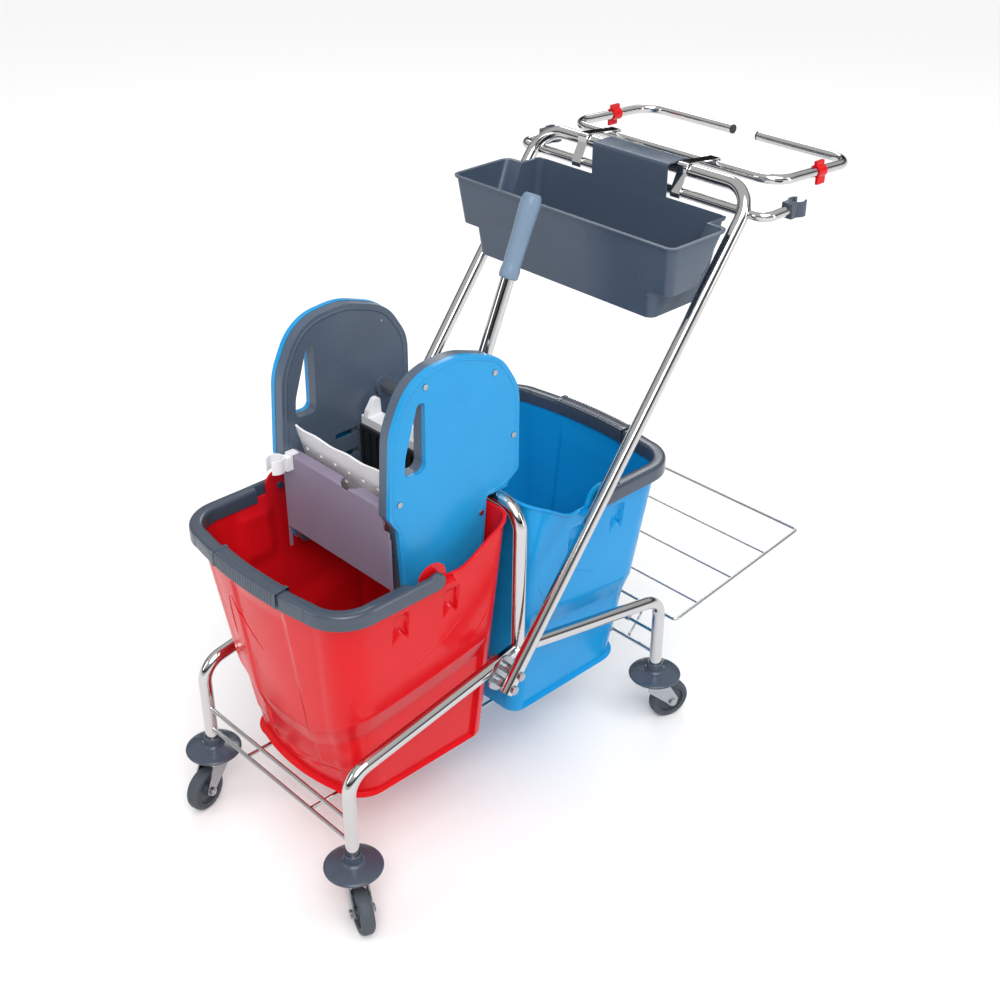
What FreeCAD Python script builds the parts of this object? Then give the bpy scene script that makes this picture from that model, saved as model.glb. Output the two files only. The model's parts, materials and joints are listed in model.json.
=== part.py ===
import FreeCAD, Part
import math
import os
from FreeCAD import Vector

# Two-bucket mop trolley with a press wringer, in millimetres.
# +X runs from the red bucket (front) to the push handle (back), +Y is the right side,
# +Z is up, and the origin is on the floor midway between the four caster stems.

# ---------------------------------------------------------------- driving sizes
wheel_base = 698.0            # front caster stem to back caster stem
track = 380.0                 # left caster stem to right caster stem
tube_dia = 22.0               # legs, rails, arch and push handle
tube_wall = 1.5
touch_gap = 0.3               # between pieces that only lie against each other
running_gap = 0.08            # radial play of a pin or shaft in its hole
cut_margin = 5.0              # how far a cutting tool runs past what it cuts

# casters
wheel_dia = 75.0
wheel_width = 23.0
tyre_thickness = 9.0
caster_trail = 33.0
axle_dia = 8.0
stem_dia = 11.0
stem_head_dia = 18.0
stem_head_z = 80.0
stem_head_height = 4.0
stem_plug_length = 40.0
fork_plate = 2.5
fork_side_gap = 1.5           # hub end to fork cheek
fork_top_z = 98.5
fork_head_height = 12.0
fork_head_dia = 42.0
fork_half_length = 19.0
fork_eye_radius = 13.0
hub_boss_radius = 10.0
hub_web = 10.0
bumper_dia = 94.0
bumper_bottom_z = 100.0
bumper_edge = 7.0
bumper_crown = 6.0
collar_dia = 31.0
collar_top_z = 131.0
leg_foot_z = 116.0
swivel_rest = {               # which way each wheel trails at rest, in degrees from +X
    "front_left": -111.0,
    "front_right": -164.0,
    "back_left": -18.0,
    "back_right": 38.0,
}

# side frames and arch
front_rail_z = 277.0          # rail height over the front leg
back_rail_z = 267.0           # rail height over the back leg
rail_peak_z = 340.0
leg_bend = 42.0
peak_bend = 60.0
arch_x = 4.0
arch_top_z = 596.5
arch_bend = 42.0

# wire grid between the legs
wire_dia = 7.0
low_wire_z = 148.5
high_wire_z = 192.0
base_rod_half_gap = 85.0

# push handle
handle_half_width = 229.0
handle_lean = 37.4            # degrees from upright, towards the back
handle_top_x = 464.0
handle_top_z = 994.5
handle_foot_z = 305.0
handle_bend = 50.0
crossbar_dia = 16.0
crossbar_x = 447.5
crossbar_z = 962.0
crossbar_half = 266.0
crossbar_bend = 20.0
crossbar_tip_x = 500.0
bracket_thickness = 4.0
bracket_width = 34.0
bolt_dia = 8.0
bolt_head_height = 4.5
bolt_corner_share = 0.95      # head's corner radius for each mm of bolt diameter
bolt_pitch = 24.0

# bag loop and its straps
loop_dia = 16.0
loop_wall = 1.2
loop_front_x = 527.0
loop_front_z = 990.5
loop_back_x = 734.0
loop_back_z = 979.0
loop_half_width = 223.0
loop_bend = 40.0
loop_end_gap = 58.0
strap_width = 20.0
strap_thickness = 2.5
strap_clearance = 0.1
strap_right_y = 125.0
strap_left_y = -93.0
bag_clip_width = 20.0
bag_clip_play = 0.05

# mop handle clips on the crossbar
mop_handle_dia = 22.0
mop_clip_height = 24.0
mop_clip_wall = 4.0
mop_clip_opening = 70.0       # degrees of the ring left open

# buckets, given for the red one: its open end looks to -X
bucket_bottom_z = 152.3
bucket_rim_z = 540.0
bucket_horn_z = 597.0
bucket_wall = 3.0
bucket_half_bottom = 147.0
bucket_half_rim = 188.5
bucket_outer_bottom_x = -301.0
bucket_outer_rim_x = -345.0
bucket_inner_bottom_x = -26.0
bucket_inner_rim_x = -14.0
bucket_bow = 12.0
bucket_corner_outer = 55.0
bucket_corner_inner = 26.0
ledge_z = 529.0
ledge_thickness = 4.0
ledge_width = 13.0
lip_width = 3.0
pivot_x = -168.0
pivot_z = 547.0
pivot_bump = 26.0
blue_shift = 8.0              # the blue bucket stands this much further from the arch
red_side_shift = 6.0          # the red bucket stands this much to the right

# bucket bails
bail_height = 24.0
bail_wall = 2.7
bail_outside = 15.5           # bail's outer face beyond the bucket wall
bail_inside = 6.8             # bail's inner face inside the bucket wall
bail_ear_from = -214.0        # where the channel ends and the solid ear starts
bail_ear_gap = 4.2            # ear's inner face beyond the bucket wall
bail_ear_radius = 13.7
bail_pin_dia = 10.0
grip_half_length = 80.0
grip_cover = 2.2

# wringer side plates
plate_outer_y = 141.0
plate_seam_y = 132.5
plate_inner_y = 115.0
shell_wall = 2.5
plate_bottom_z = 478.0
plate_front_x = -209.0
plate_edge_inset = 1.0        # grey half is this much smaller all round
slot_corner = 9.0
shell_screw_dia = 5.0
shell_boss_dia = 9.0
shell_screw_head_dia = 9.0
shell_screw_head = 2.0
shaft_boss_height = 6.0        # inner half's boss beyond its face

# wringer mechanism
shaft_x = -7.0
shaft_z = 700.0
shaft_dia = 22.0
journal_dia = 16.0
boss_dia = 35.0
blind_boss_depth = 6.0        # outer shell's blind shaft boss
gear_module = 2.0
pinion_teeth = 28
pinion_width = 9.0
gear_backlash = 0.25
pressure_angle = 20.0
carriage_thickness = 4.0
carriage_front_x = -72.0
carriage_back_x = -42.0
carriage_bottom_z = 588.0
rack_height = 16.0
rack_back_x = 41.0
first_tooth = -2              # rack teeth counted from the shaft's axis
drive_pin_dia = 9.0
drive_pin_x = -57.0
drive_pin_z = (603.0, 640.0)
lever_lean = 23.6             # degrees from upright, towards the back
lever_y = -76.0
lever_tube_dia = 22.0
lever_reach = 352.0
lever_hub_dia = 37.0
lever_hub_width = 32.0
grip_length = 128.0
grip_dia = 30.0
press_stroke = 44.0

# wringer jaws and panels
panel_front_x = -201.0
panel_thickness = 2.5
panel_half_width = 127.0
panel_bottom_z = 513.0
panel_top_z = 650.0
panel_lip_back_x = -184.0
panel_notch_radius = 22.0
panel_notch_y = -28.0
jaw_thickness = 3.0
jaw_half_width = 114.7
front_jaw_top = (-182.0, 690.0)
front_jaw_bottom = (-128.0, 497.0)
jaw_hole_dia = 8.0
jaw_first_hole = 41.0
press_face_x = -62.0
press_top_z = 664.0
press_bottom_z = 512.0
press_rib = 4.0
floor_plate_z = 488.0
rest_clip_y = 114.0
rest_clip_z = 626.0

# utility tray
tray_rim_z = 954.0
tray_bottom_z = 825.0
tray_step_z = 872.0
tray_front_rim_x = 262.0
tray_front_bottom_x = 276.0
tray_back_rim_x = 432.0
tray_back_bottom_x = 405.0
tray_half_rim = 240.0
tray_half_step = 231.0
tray_half_bottom = 194.0
tray_half_back = 205.0
tray_wing_rim_x = 388.0
tray_wing_step_x = 346.0
tray_wall = 2.6
tray_lip = 4.0
tray_panel_half = 81.0

# folding platform behind the blue bucket
platform_wire = 6.0
platform_cross_wire = 4.0
platform_arm_wire = 5.0
platform_hinge_half = 120.0
platform_half_width = 190.0
platform_first_x = 398.0
platform_last_x = 755.0
platform_rise = 6.2           # degrees, up towards the back
platform_wires_x = (461.5, 558.4, 656.7)

# ---------------------------------------------------------------- shared values
leg_x = wheel_base / 2
leg_y = track / 2
tube_r = tube_dia / 2
wire_r = wire_dia / 2
Z_AXIS = Vector(0, 0, 1)
Y_AXIS = Vector(0, 1, 0)
X_AXIS = Vector(1, 0, 0)
ORIGIN = Vector(0, 0, 0)

os.makedirs("parts", exist_ok=True)


# ---------------------------------------------------------------- shape helpers
def save(name, solids):
    """Write one node: a solid, or a group of separate solids."""
    found = []
    for shape in solids if isinstance(solids, list) else [solids]:
        found.extend(shape.Solids)
    body = found[0] if len(found) == 1 else Part.makeCompound(found)
    body.exportStep("parts/" + name + ".step")


def cylinder(start, end, radius):
    """A round bar from start to end."""
    along = end - start
    return Part.makeCylinder(radius, along.Length, start, along)


def box(x0, x1, y0, y1, z0, z1):
    return Part.makeBox(x1 - x0, y1 - y0, z1 - z0, Vector(x0, y0, z0))


def union(shapes):
    result = shapes[0]
    if len(shapes) > 1:
        result = result.fuse(shapes[1:])
    return result.removeSplitter()


def bent_wire(points, radii):
    """Straight runs through the points, with a tangent arc at each inner one."""
    edges = []
    start = points[0]
    for index in range(1, len(points) - 1):
        corner = points[index]
        back = (points[index - 1] - corner).normalize()
        ahead = (points[index + 1] - corner).normalize()
        half = back.getAngle(ahead) / 2
        reach = radii[index - 1] / math.tan(half)
        middle = (back + ahead).normalize()
        to_arc = radii[index - 1] / math.sin(half) - radii[index - 1]
        arc_from = corner + back * reach
        arc_to = corner + ahead * reach
        if (arc_from - start).Length > 1e-4:
            edges.append(Part.makeLine(start, arc_from))
        edges.append(Part.Arc(arc_from, corner + middle * to_arc, arc_to).toShape())
        start = arc_to
    edges.append(Part.makeLine(start, points[-1]))
    return Part.Wire(edges)


def bar(points, radii, radius):
    """A round bar bent along the points."""
    path = bent_wire(points, radii)
    ring = Part.Wire(Part.makeCircle(radius, points[0], points[1] - points[0]))
    return path.makePipeShell([ring], True, False)


def tube(points, radii, radius, wall):
    """A hollow tube bent along the points, open at both ends."""
    return bar(points, radii, radius).cut(bar(points, radii, radius - wall))


def outline(points, radii):
    """A closed wire through the points, with each corner rounded by its radius."""
    edges = []
    count = len(points)
    arcs = []
    for index in range(count):
        corner = points[index]
        back = (points[index - 1] - corner).normalize()
        ahead = (points[(index + 1) % count] - corner).normalize()
        half = back.getAngle(ahead) / 2
        radius = radii[index]
        reach = radius / math.tan(half)
        middle = (back + ahead).normalize()
        to_arc = radius / math.sin(half) - radius
        arcs.append((corner + back * reach, corner + middle * to_arc, corner + ahead * reach))
    for index in range(count):
        arc_from, arc_mid, arc_to = arcs[index]
        if radii[index] > 0:
            edges.append(Part.Arc(arc_from, arc_mid, arc_to).toShape())
        following = arcs[(index + 1) % count][0]
        if (following - arc_to).Length > 1e-4:
            edges.append(Part.makeLine(arc_to, following))
    return Part.Wire(edges)


def prism(wire, direction):
    """The face inside a flat wire, pushed along a direction."""
    solid = Part.Face(wire).extrude(direction)
    if solid.Volume < 0:
        solid.reverse()
    return solid


def side_prism(points, radii, y0, y1):
    """An outline given as (x, z) pairs, pushed from y0 to y1."""
    wire = outline([Vector(x, y0, z) for x, z in points], radii)
    return prism(wire, Vector(0, y1 - y0, 0))


def turned(profile, axis_point=ORIGIN):
    """A solid turned about an upright axis from a closed (radius, z) profile."""
    points = [Vector(r, 0, z) for r, z in profile]
    wire = Part.makePolygon(points + [points[0]])
    solid = Part.Face(wire).revolve(ORIGIN, Z_AXIS, 360)
    solid.translate(axis_point)
    return solid


def hex_bolt(start, end, diameter, head_height):
    """A bolt whose six-sided head lies before start, with a nut just past end."""
    along = (end - start).normalize()
    corner_r = diameter * bolt_corner_share
    flats = []
    for base in (start - along * head_height, end):
        six = Part.makePolygon([
            Vector(corner_r * math.cos(math.radians(60 * k)), corner_r * math.sin(math.radians(60 * k)), 0)
            for k in range(7)
        ])
        nut = prism(six, Vector(0, 0, head_height))
        nut.Placement = FreeCAD.Placement(base, FreeCAD.Rotation(Z_AXIS, along))
        flats.append(nut)
    tip = end + along * (head_height + 0.8)
    return union([cylinder(start - along, tip, diameter / 2)] + flats)


def mirror_y(shape):
    return shape.mirror(ORIGIN, Y_AXIS)


# ---------------------------------------------------------------- side frames
def rail_path(y):
    return [
        Vector(-leg_x, y, leg_foot_z),
        Vector(-leg_x, y, front_rail_z),
        Vector(0, y, rail_peak_z),
        Vector(leg_x, y, back_rail_z),
        Vector(leg_x, y, leg_foot_z),
    ]


rail_bends = [leg_bend, peak_bend, leg_bend]


def handle_axis_x(z):
    """Where the leaning handle tube's axis is at a height."""
    return handle_top_x - (handle_top_z - z) * math.tan(math.radians(handle_lean))


def rail_axis_z(x):
    """Height of the front rail's straight run."""
    return rail_peak_z + x * (rail_peak_z - front_rail_z) / leg_x


# The handle tube crosses the rail at this point; the upper bolt goes through both.
rail_slope = (rail_peak_z - front_rail_z) / leg_x
handle_slope = math.tan(math.radians(handle_lean))
bolt_x = (handle_axis_x(rail_peak_z)) / (1 - handle_slope * rail_slope)
bolt_z = rail_axis_z(bolt_x)
lean = Vector(math.sin(math.radians(handle_lean)), 0, math.cos(math.radians(handle_lean)))
bolt_places = [
    Vector(bolt_x, 0, bolt_z),
    Vector(bolt_x, 0, bolt_z) - lean * bolt_pitch,
]

for side, sign in (("left", -1), ("right", 1)):
    rail = tube(rail_path(sign * leg_y), rail_bends, tube_r, tube_wall)
    place = bolt_places[0] + Vector(0, sign * (leg_y - tube_r - cut_margin), 0)
    hole = cylinder(place, place + Vector(0, sign * (tube_dia + 2 * cut_margin), 0), bolt_dia / 2)
    save("side_frame_" + side, rail.cut(hole))

# The arch stands on both rails and crosses between the buckets.
arch_path = [
    Vector(0, -leg_y, rail_peak_z),
    Vector(arch_x, -leg_y, arch_top_z),
    Vector(arch_x, leg_y, arch_top_z),
    Vector(0, leg_y, rail_peak_z),
]
arch = tube(arch_path, [arch_bend, arch_bend], tube_r, tube_wall)
for sign in (-1, 1):
    arch = arch.cut(bar(rail_path(sign * leg_y), rail_bends, tube_r))
save("arch_tube", max(arch.Solids, key=lambda solid: solid.Volume))

# Round wires welded between the legs, and the rods that the buckets stand on.
cross_wires = []
for x in (-leg_x, leg_x):
    for z in (low_wire_z, high_wire_z):
        reach = leg_y - tube_r
        cross_wires.append(cylinder(Vector(x, -reach, z), Vector(x, reach, z), wire_r))
save("cross_wires", cross_wires)

base_rods = []
rod_reach = leg_x - wire_r
for sign in (-1, 1):
    y = sign * base_rod_half_gap
    base_rods.append(cylinder(Vector(-rod_reach, y, low_wire_z), Vector(rod_reach, y, low_wire_z), wire_r))
under_z = low_wire_z - wire_dia
under_reach = base_rod_half_gap + 2 * wire_dia
base_rods.append(cylinder(Vector(0, -under_reach, under_z), Vector(0, under_reach, under_z), wire_r))
save("base_rods", base_rods)

# ---------------------------------------------------------------- push handle
handle_foot_x = handle_axis_x(handle_foot_z)
handle_path = [
    Vector(handle_foot_x, -handle_half_width, handle_foot_z),
    Vector(handle_top_x, -handle_half_width, handle_top_z),
    Vector(handle_top_x, handle_half_width, handle_top_z),
    Vector(handle_foot_x, handle_half_width, handle_foot_z),
]
handle = tube(handle_path, [handle_bend, handle_bend], tube_r, tube_wall)

crossbar_path = [
    Vector(crossbar_tip_x, -crossbar_half, crossbar_z),
    Vector(crossbar_x, -crossbar_half, crossbar_z),
    Vector(crossbar_x, crossbar_half, crossbar_z),
    Vector(crossbar_tip_x, crossbar_half, crossbar_z),
]
crossbar = bar(crossbar_path, [crossbar_bend, crossbar_bend], crossbar_dia / 2)
save("handle_crossbar", crossbar)

for sign in (-1, 1):
    for place in bolt_places:
        inside = place + Vector(0, sign * (leg_y - tube_r), 0)
        outside = place + Vector(0, sign * (handle_half_width + tube_dia), 0)
        handle = handle.cut(cylinder(inside, outside, bolt_dia / 2))
save("push_handle", handle.cut(crossbar))

# Flat brackets between rail and handle, and the bolts with their spacer bushes.
brackets = []
bolts = []
bracket_face = leg_y + tube_r
spacer_face = handle_half_width - tube_r
for sign in (-1, 1):
    low = bolt_places[1] - lean * (bracket_width / 2)
    high = bolt_places[0] + lean * (bracket_width / 2)
    across = Vector(lean.z, 0, -lean.x) * (bracket_width / 2)
    corners = [low - across, low + across, high + across, high - across]
    shift = Vector(0, sign * (bracket_face), 0)
    wire = outline([corner + shift for corner in corners], [12.0] * 4)
    plate = prism(wire, Vector(0, sign * bracket_thickness, 0))
    for place in bolt_places:
        start = place + Vector(0, sign * (bracket_face - cut_margin), 0)
        plate = plate.cut(cylinder(start, start + Vector(0, sign * 3 * cut_margin, 0), bolt_dia / 2))
    brackets.append(plate)
    for place, inner_face in zip(bolt_places, (leg_y - tube_r, bracket_face)):
        outer = place + Vector(0, sign * (handle_half_width + tube_r), 0)
        inner = place + Vector(0, sign * inner_face, 0)
        seat = place + Vector(0, sign * (bracket_face + bracket_thickness), 0)
        bush_end = place + Vector(0, sign * spacer_face, 0)
        bolts.append(union([
            hex_bolt(outer, inner, bolt_dia, bolt_head_height),
            cylinder(seat, bush_end, bolt_dia),
        ]))
save("frame_brackets", brackets)
save("handle_bolts", bolts)

# ---------------------------------------------------------------- casters
bumpers = []
stems = []
stem_r = stem_dia / 2
bumper_r = bumper_dia / 2
collar_r = collar_dia / 2
bumper_top = bumper_bottom_z + bumper_edge
for name in swivel_rest:
    end, side = name.split("_")
    x = -leg_x if end == "front" else leg_x
    y = -leg_y if side == "left" else leg_y
    here = Vector(x, y, 0)
    profile = [
        (stem_r, bumper_bottom_z + 3),
        (bumper_r - 4, bumper_bottom_z),
        (bumper_r, bumper_bottom_z + 2),
        (bumper_r, bumper_top - 2),
        (bumper_r - 3, bumper_top),
        (collar_r + 4, bumper_top + bumper_crown),
        (collar_r, bumper_top + bumper_crown + 3),
        (collar_r - 1, collar_top_z),
        (tube_r, collar_top_z),
        (tube_r, leg_foot_z),
        (stem_r, leg_foot_z),
    ]
    bumpers.append(turned(profile, here))
    plug_r = tube_r - tube_wall
    stem_head_r = stem_head_dia / 2
    plug_foot_z = leg_foot_z + 3
    stems.append(turned([
        (0, stem_head_z),
        (stem_head_r, stem_head_z),
        (stem_head_r, stem_head_z + stem_head_height),
        (stem_r, stem_head_z + stem_head_height),
        (stem_r, plug_foot_z),
        (plug_r, plug_foot_z),
        (plug_r, leg_foot_z + stem_plug_length),
        (0, leg_foot_z + stem_plug_length + 4),
    ], here))

    # Everything below turns with the fork; it is built trailing to +X, then turned.
    axle_z = wheel_dia / 2
    hub_half = wheel_width / 2 + 1.0
    cheek_in = hub_half + fork_side_gap
    cheek_out = cheek_in + fork_plate
    hole_r = stem_r + running_gap
    head_foot_z = fork_top_z - fork_head_height
    head_r = fork_head_dia / 2
    head = turned([
        (hole_r, head_foot_z),
        (head_r - 2, head_foot_z),
        (head_r, head_foot_z + 4),
        (head_r, fork_top_z - 3),
        (head_r - 4, fork_top_z),
        (hole_r, fork_top_z),
    ])
    cheek = side_prism([
        (-fork_half_length, head_foot_z),
        (fork_half_length, head_foot_z),
        (caster_trail + fork_eye_radius, axle_z + 2),
        (caster_trail, axle_z - fork_eye_radius),
        (caster_trail - fork_eye_radius, axle_z + 2),
        (-fork_half_length, head_foot_z - 12),
    ], [3, 10, 9, 9, 9, 4], cheek_in, cheek_out)
    crown = box(-fork_half_length, fork_half_length - 2, -cheek_out, cheek_out,
                head_foot_z - fork_plate, head_foot_z)
    crown = crown.cut(cylinder(Vector(0, 0, head_foot_z - cut_margin - fork_plate),
                               Vector(0, 0, fork_top_z + cut_margin), hole_r))
    fork = union([head, crown, cheek, mirror_y(cheek)])
    left_end = Vector(caster_trail, -cheek_out, axle_z)
    right_end = Vector(caster_trail, cheek_out, axle_z)
    beyond = Vector(0, cut_margin, 0)
    fork = fork.cut(cylinder(left_end - beyond, right_end + beyond, axle_dia / 2))
    axle = hex_bolt(left_end, right_end, axle_dia, 4.0)
    tyre_inner = wheel_dia / 2 - tyre_thickness
    wheel_r = wheel_dia / 2
    half = wheel_width / 2
    tyre = turned([
        (tyre_inner, -half + 1), (wheel_r - 5, -half), (wheel_r - 1.5, -half + 3),
        (wheel_r, -half + 7), (wheel_r, half - 7), (wheel_r - 1.5, half - 3),
        (wheel_r - 5, half), (tyre_inner, half - 1),
    ])
    bore_r = axle_dia / 2 + running_gap
    web_half = hub_web / 2
    hub = turned([
        (bore_r, -hub_half), (hub_boss_radius, -hub_half), (hub_boss_radius + 1, -web_half),
        (tyre_inner - 4, -web_half), (tyre_inner - 3, -half + 1), (tyre_inner, -half + 1),
        (tyre_inner, half - 1), (tyre_inner - 3, half - 1), (tyre_inner - 4, web_half),
        (hub_boss_radius + 1, web_half), (hub_boss_radius, hub_half), (bore_r, hub_half),
    ])
    for wheel_piece in (tyre, hub):
        wheel_piece.rotate(ORIGIN, X_AXIS, 90)
        wheel_piece.translate(Vector(caster_trail, 0, axle_z))
    for node, piece in (("fork", fork), ("axle", axle), ("tyre", tyre), ("hub", hub)):
        piece.rotate(ORIGIN, Z_AXIS, swivel_rest[name])
        piece.translate(here)
        save(node + "_" + name, piece)
save("bumper_discs", bumpers)
save("caster_stems", stems)


# ---------------------------------------------------------------- buckets
def between(low, high, z):
    """A size that changes evenly from the bucket's bottom to its rim."""
    return low + (high - low) * (z - bucket_bottom_z) / (bucket_rim_z - bucket_bottom_z)


def bucket_plan(z, grow):
    """The bucket's plan outline at a height, grown outwards by an amount."""
    half = between(bucket_half_bottom, bucket_half_rim, z) + grow
    outer = between(bucket_outer_bottom_x, bucket_outer_rim_x, z) - grow
    inner = between(bucket_inner_bottom_x, bucket_inner_rim_x, z) + grow
    big = bucket_corner_outer + grow
    small = bucket_corner_inner + grow
    c45 = math.cos(math.radians(45))
    in_x = inner - small
    out_x = outer + big
    edges = [
        Part.makeLine(Vector(inner, -half + small, z), Vector(inner, half - small, z)),
        Part.Arc(Vector(inner, half - small, z),
                 Vector(in_x + small * c45, half - small + small * c45, z),
                 Vector(in_x, half, z)).toShape(),
        Part.makeLine(Vector(in_x, half, z), Vector(out_x, half, z)),
        Part.Arc(Vector(out_x, half, z),
                 Vector(out_x - big * c45, half - big + big * c45, z),
                 Vector(outer, half - big, z)).toShape(),
        Part.Arc(Vector(outer, half - big, z), Vector(outer - bucket_bow, 0, z),
                 Vector(outer, -half + big, z)).toShape(),
        Part.Arc(Vector(outer, -half + big, z),
                 Vector(out_x - big * c45, -half + big - big * c45, z),
                 Vector(out_x, -half, z)).toShape(),
        Part.makeLine(Vector(out_x, -half, z), Vector(in_x, -half, z)),
        Part.Arc(Vector(in_x, -half, z),
                 Vector(in_x + small * c45, -half + small - small * c45, z),
                 Vector(inner, -half + small, z)).toShape(),
    ]
    return Part.Wire(edges)


def bucket_loft(z0, z1, grow):
    return Part.makeLoft([bucket_plan(z0, grow), bucket_plan(z1, grow)], True, True)


def plan_prism(z0, z1, grow):
    """An upright prism with the rim's plan outline."""
    wire = bucket_plan(bucket_rim_z, grow)
    wire.translate(Vector(0, 0, z0 - bucket_rim_z))
    return prism(wire, Vector(0, 0, z1 - z0))


def rim_cutter(drop):
    """Everything above the rim's side profile, lowered by an amount."""
    far = -440.0
    reach = 260.0
    top = bucket_horn_z + 60.0
    low_x = pivot_x + pivot_bump + 21.0
    curve = Part.BSplineCurve()
    curve.interpolate([
        Vector(low_x, -reach, bucket_rim_z - 1 - drop),
        Vector(low_x + 24, -reach, bucket_rim_z + 5 - drop),
        Vector(low_x + 68, -reach, bucket_rim_z + 33 - drop),
        Vector(low_x + 104, -reach, bucket_horn_z - 5 - drop),
        Vector(10, -reach, bucket_horn_z - drop),
    ])
    corners = [
        Vector(10, -reach, bucket_horn_z - drop),
        Vector(10, -reach, top),
        Vector(far, -reach, top),
        Vector(far, -reach, bucket_rim_z - drop),
        Vector(low_x - 8, -reach, bucket_rim_z - drop),
        Vector(low_x, -reach, bucket_rim_z - 1 - drop),
    ]
    edges = [curve.toShape()]
    for first, second in zip(corners, corners[1:]):
        edges.append(Part.makeLine(first, second))
    return prism(Part.Wire(edges), Vector(0, 2 * reach, 0))


def make_bucket():
    wall_top = bucket_horn_z + 20
    outer = bucket_loft(bucket_bottom_z, wall_top, 0)
    inner = bucket_loft(bucket_bottom_z + bucket_wall, wall_top + 1, -bucket_wall)
    shell = outer.cut(inner)
    bump_start = Vector(pivot_x, -260, pivot_z)
    bump = cylinder(bump_start, bump_start + Vector(0, 520, 0), pivot_bump)
    above = rim_cutter(0).cut(bump)
    shell = shell.cut(above)
    # The ledge that the bail lies on runs round the open end, the lip along the rest.
    ledge = plan_prism(ledge_z, ledge_z + ledge_thickness, ledge_width)
    ledge = ledge.cut(plan_prism(ledge_z - 1, ledge_z + ledge_thickness + 1, -bucket_wall / 2))
    ledge_end = pivot_x + pivot_bump + 12
    ledge = ledge.cut(box(ledge_end, 60, -260, 260, ledge_z - 5, ledge_z + 20))
    lip = bucket_loft(bucket_bottom_z, wall_top, lip_width)
    lip = lip.cut(bucket_loft(bucket_bottom_z - 1, wall_top + 1, -bucket_wall / 2))
    lip = lip.common(box(ledge_end, 60, -260, 260, bucket_rim_z - 30, wall_top))
    lip = lip.cut(rim_cutter(0)).common(rim_cutter(4))
    bucket = union([shell, ledge, lip])
    pin_start = Vector(pivot_x, -260, pivot_z)
    pin_hole = cylinder(pin_start, pin_start + Vector(0, 520, 0), bail_pin_dia / 2 + running_gap)
    return bucket.cut(pin_hole)


def make_bail():
    z0 = ledge_z + ledge_thickness + touch_gap
    z1 = z0 + bail_height
    ring = plan_prism(z0, z1, bail_outside).cut(plan_prism(z0 - 1, z1 + 1, -bail_inside))
    groove = plan_prism(z0 - 1, z1 - bail_wall, bail_outside - bail_wall)
    groove = groove.cut(plan_prism(z0 - 2, z1, -bail_inside + bail_wall))
    channel_zone = box(-440, bail_ear_from, -260, 260, z0 - 2, z1 + 2)
    ear_zone = box(bail_ear_from, pivot_x, -260, 260, z0 - 2, z1 + 2)
    inner_side = plan_prism(z0 - 2, z1 + 2, bail_ear_gap)
    channel = ring.common(channel_zone).cut(groove)
    ears = ring.common(ear_zone).cut(inner_side)
    pieces = [channel, ears]
    outside = bucket_half_rim + bail_outside
    for sign in (-1, 1):
        start = Vector(pivot_x, sign * outside, pivot_z)
        inner_face = Vector(pivot_x, sign * (bucket_half_rim + bail_ear_gap), pivot_z)
        stop = Vector(pivot_x, sign * (bucket_half_rim - 2 * bucket_wall), pivot_z)
        pieces.append(cylinder(start, inner_face, bail_ear_radius))
        pieces.append(cylinder(inner_face, stop, bail_pin_dia / 2))
    return union(pieces)


def make_bail_grip():
    """A ribbed sleeve moulded over the middle of the bail."""
    z0 = ledge_z + ledge_thickness + touch_gap
    z1 = z0 + bail_height
    zone = box(-440, pivot_x, -grip_half_length, grip_half_length, z0 + 2, z1 + grip_cover)
    sleeve = plan_prism(z0 + 2, z1 + grip_cover, bail_outside + grip_cover)
    sleeve = sleeve.cut(plan_prism(z0 - 1, z1 + 5, -bail_inside - grip_cover))
    sleeve = sleeve.common(zone)
    core = plan_prism(z0 - 2, z1, bail_outside).cut(plan_prism(z0 - 3, z1 + 9, -bail_inside))
    return sleeve.cut(core)


for colour in ("red", "blue"):
    pieces = {
        "bucket": make_bucket(),
        "bail": make_bail(),
        "bail_grip": make_bail_grip(),
    }
    for node, piece in pieces.items():
        if colour == "blue":
            piece.rotate(ORIGIN, Z_AXIS, 180)
            piece.translate(Vector(blue_shift, 0, 0))
        else:
            piece.translate(Vector(0, red_side_shift, 0))
        save(colour + "_" + node, piece)

# ---------------------------------------------------------------- wringer plates
notch_z = arch_top_z + tube_r + touch_gap
plate_points = [
    (plate_front_x, 642), (-200, 776), (-160, 853), (-72, 860), (10, 832), (48, 770), (47, 630),
    (26, notch_z + 8), (22, notch_z), (-20, notch_z), (-24, 560), (-34, plate_bottom_z),
    (-186, plate_bottom_z), (-193, 616),
]
plate_radii = [9, 110, 80, 120, 80, 80, 10, 6, 3, 3, 20, 10, 10, 12]
slot_points = [(-151, 808), (-137, 808), (-139, 697), (-179, 700), (-176, 732)]
slot_radii = [6, 6, 12, slot_corner, 60]
screw_places = [(-136, 831), (-3, 809), (35, 693), (-190, 662), (-32, 584)]


def grown(points, amount):
    """Corner points moved straight out from the outline's middle line by an amount."""
    moved = []
    count = len(points)
    for index in range(count):
        x0, z0 = points[index - 1]
        x1, z1 = points[index]
        x2, z2 = points[(index + 1) % count]
        a = Vector(x1 - x0, 0, z1 - z0).normalize()
        b = Vector(x2 - x1, 0, z2 - z1).normalize()
        out_a = Vector(-a.z, 0, a.x)
        out_b = Vector(-b.z, 0, b.x)
        bisector = (out_a + out_b).normalize()
        scale = amount / bisector.dot(out_a)
        moved.append((x1 + bisector.x * scale, z1 + bisector.z * scale))
    return moved


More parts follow.
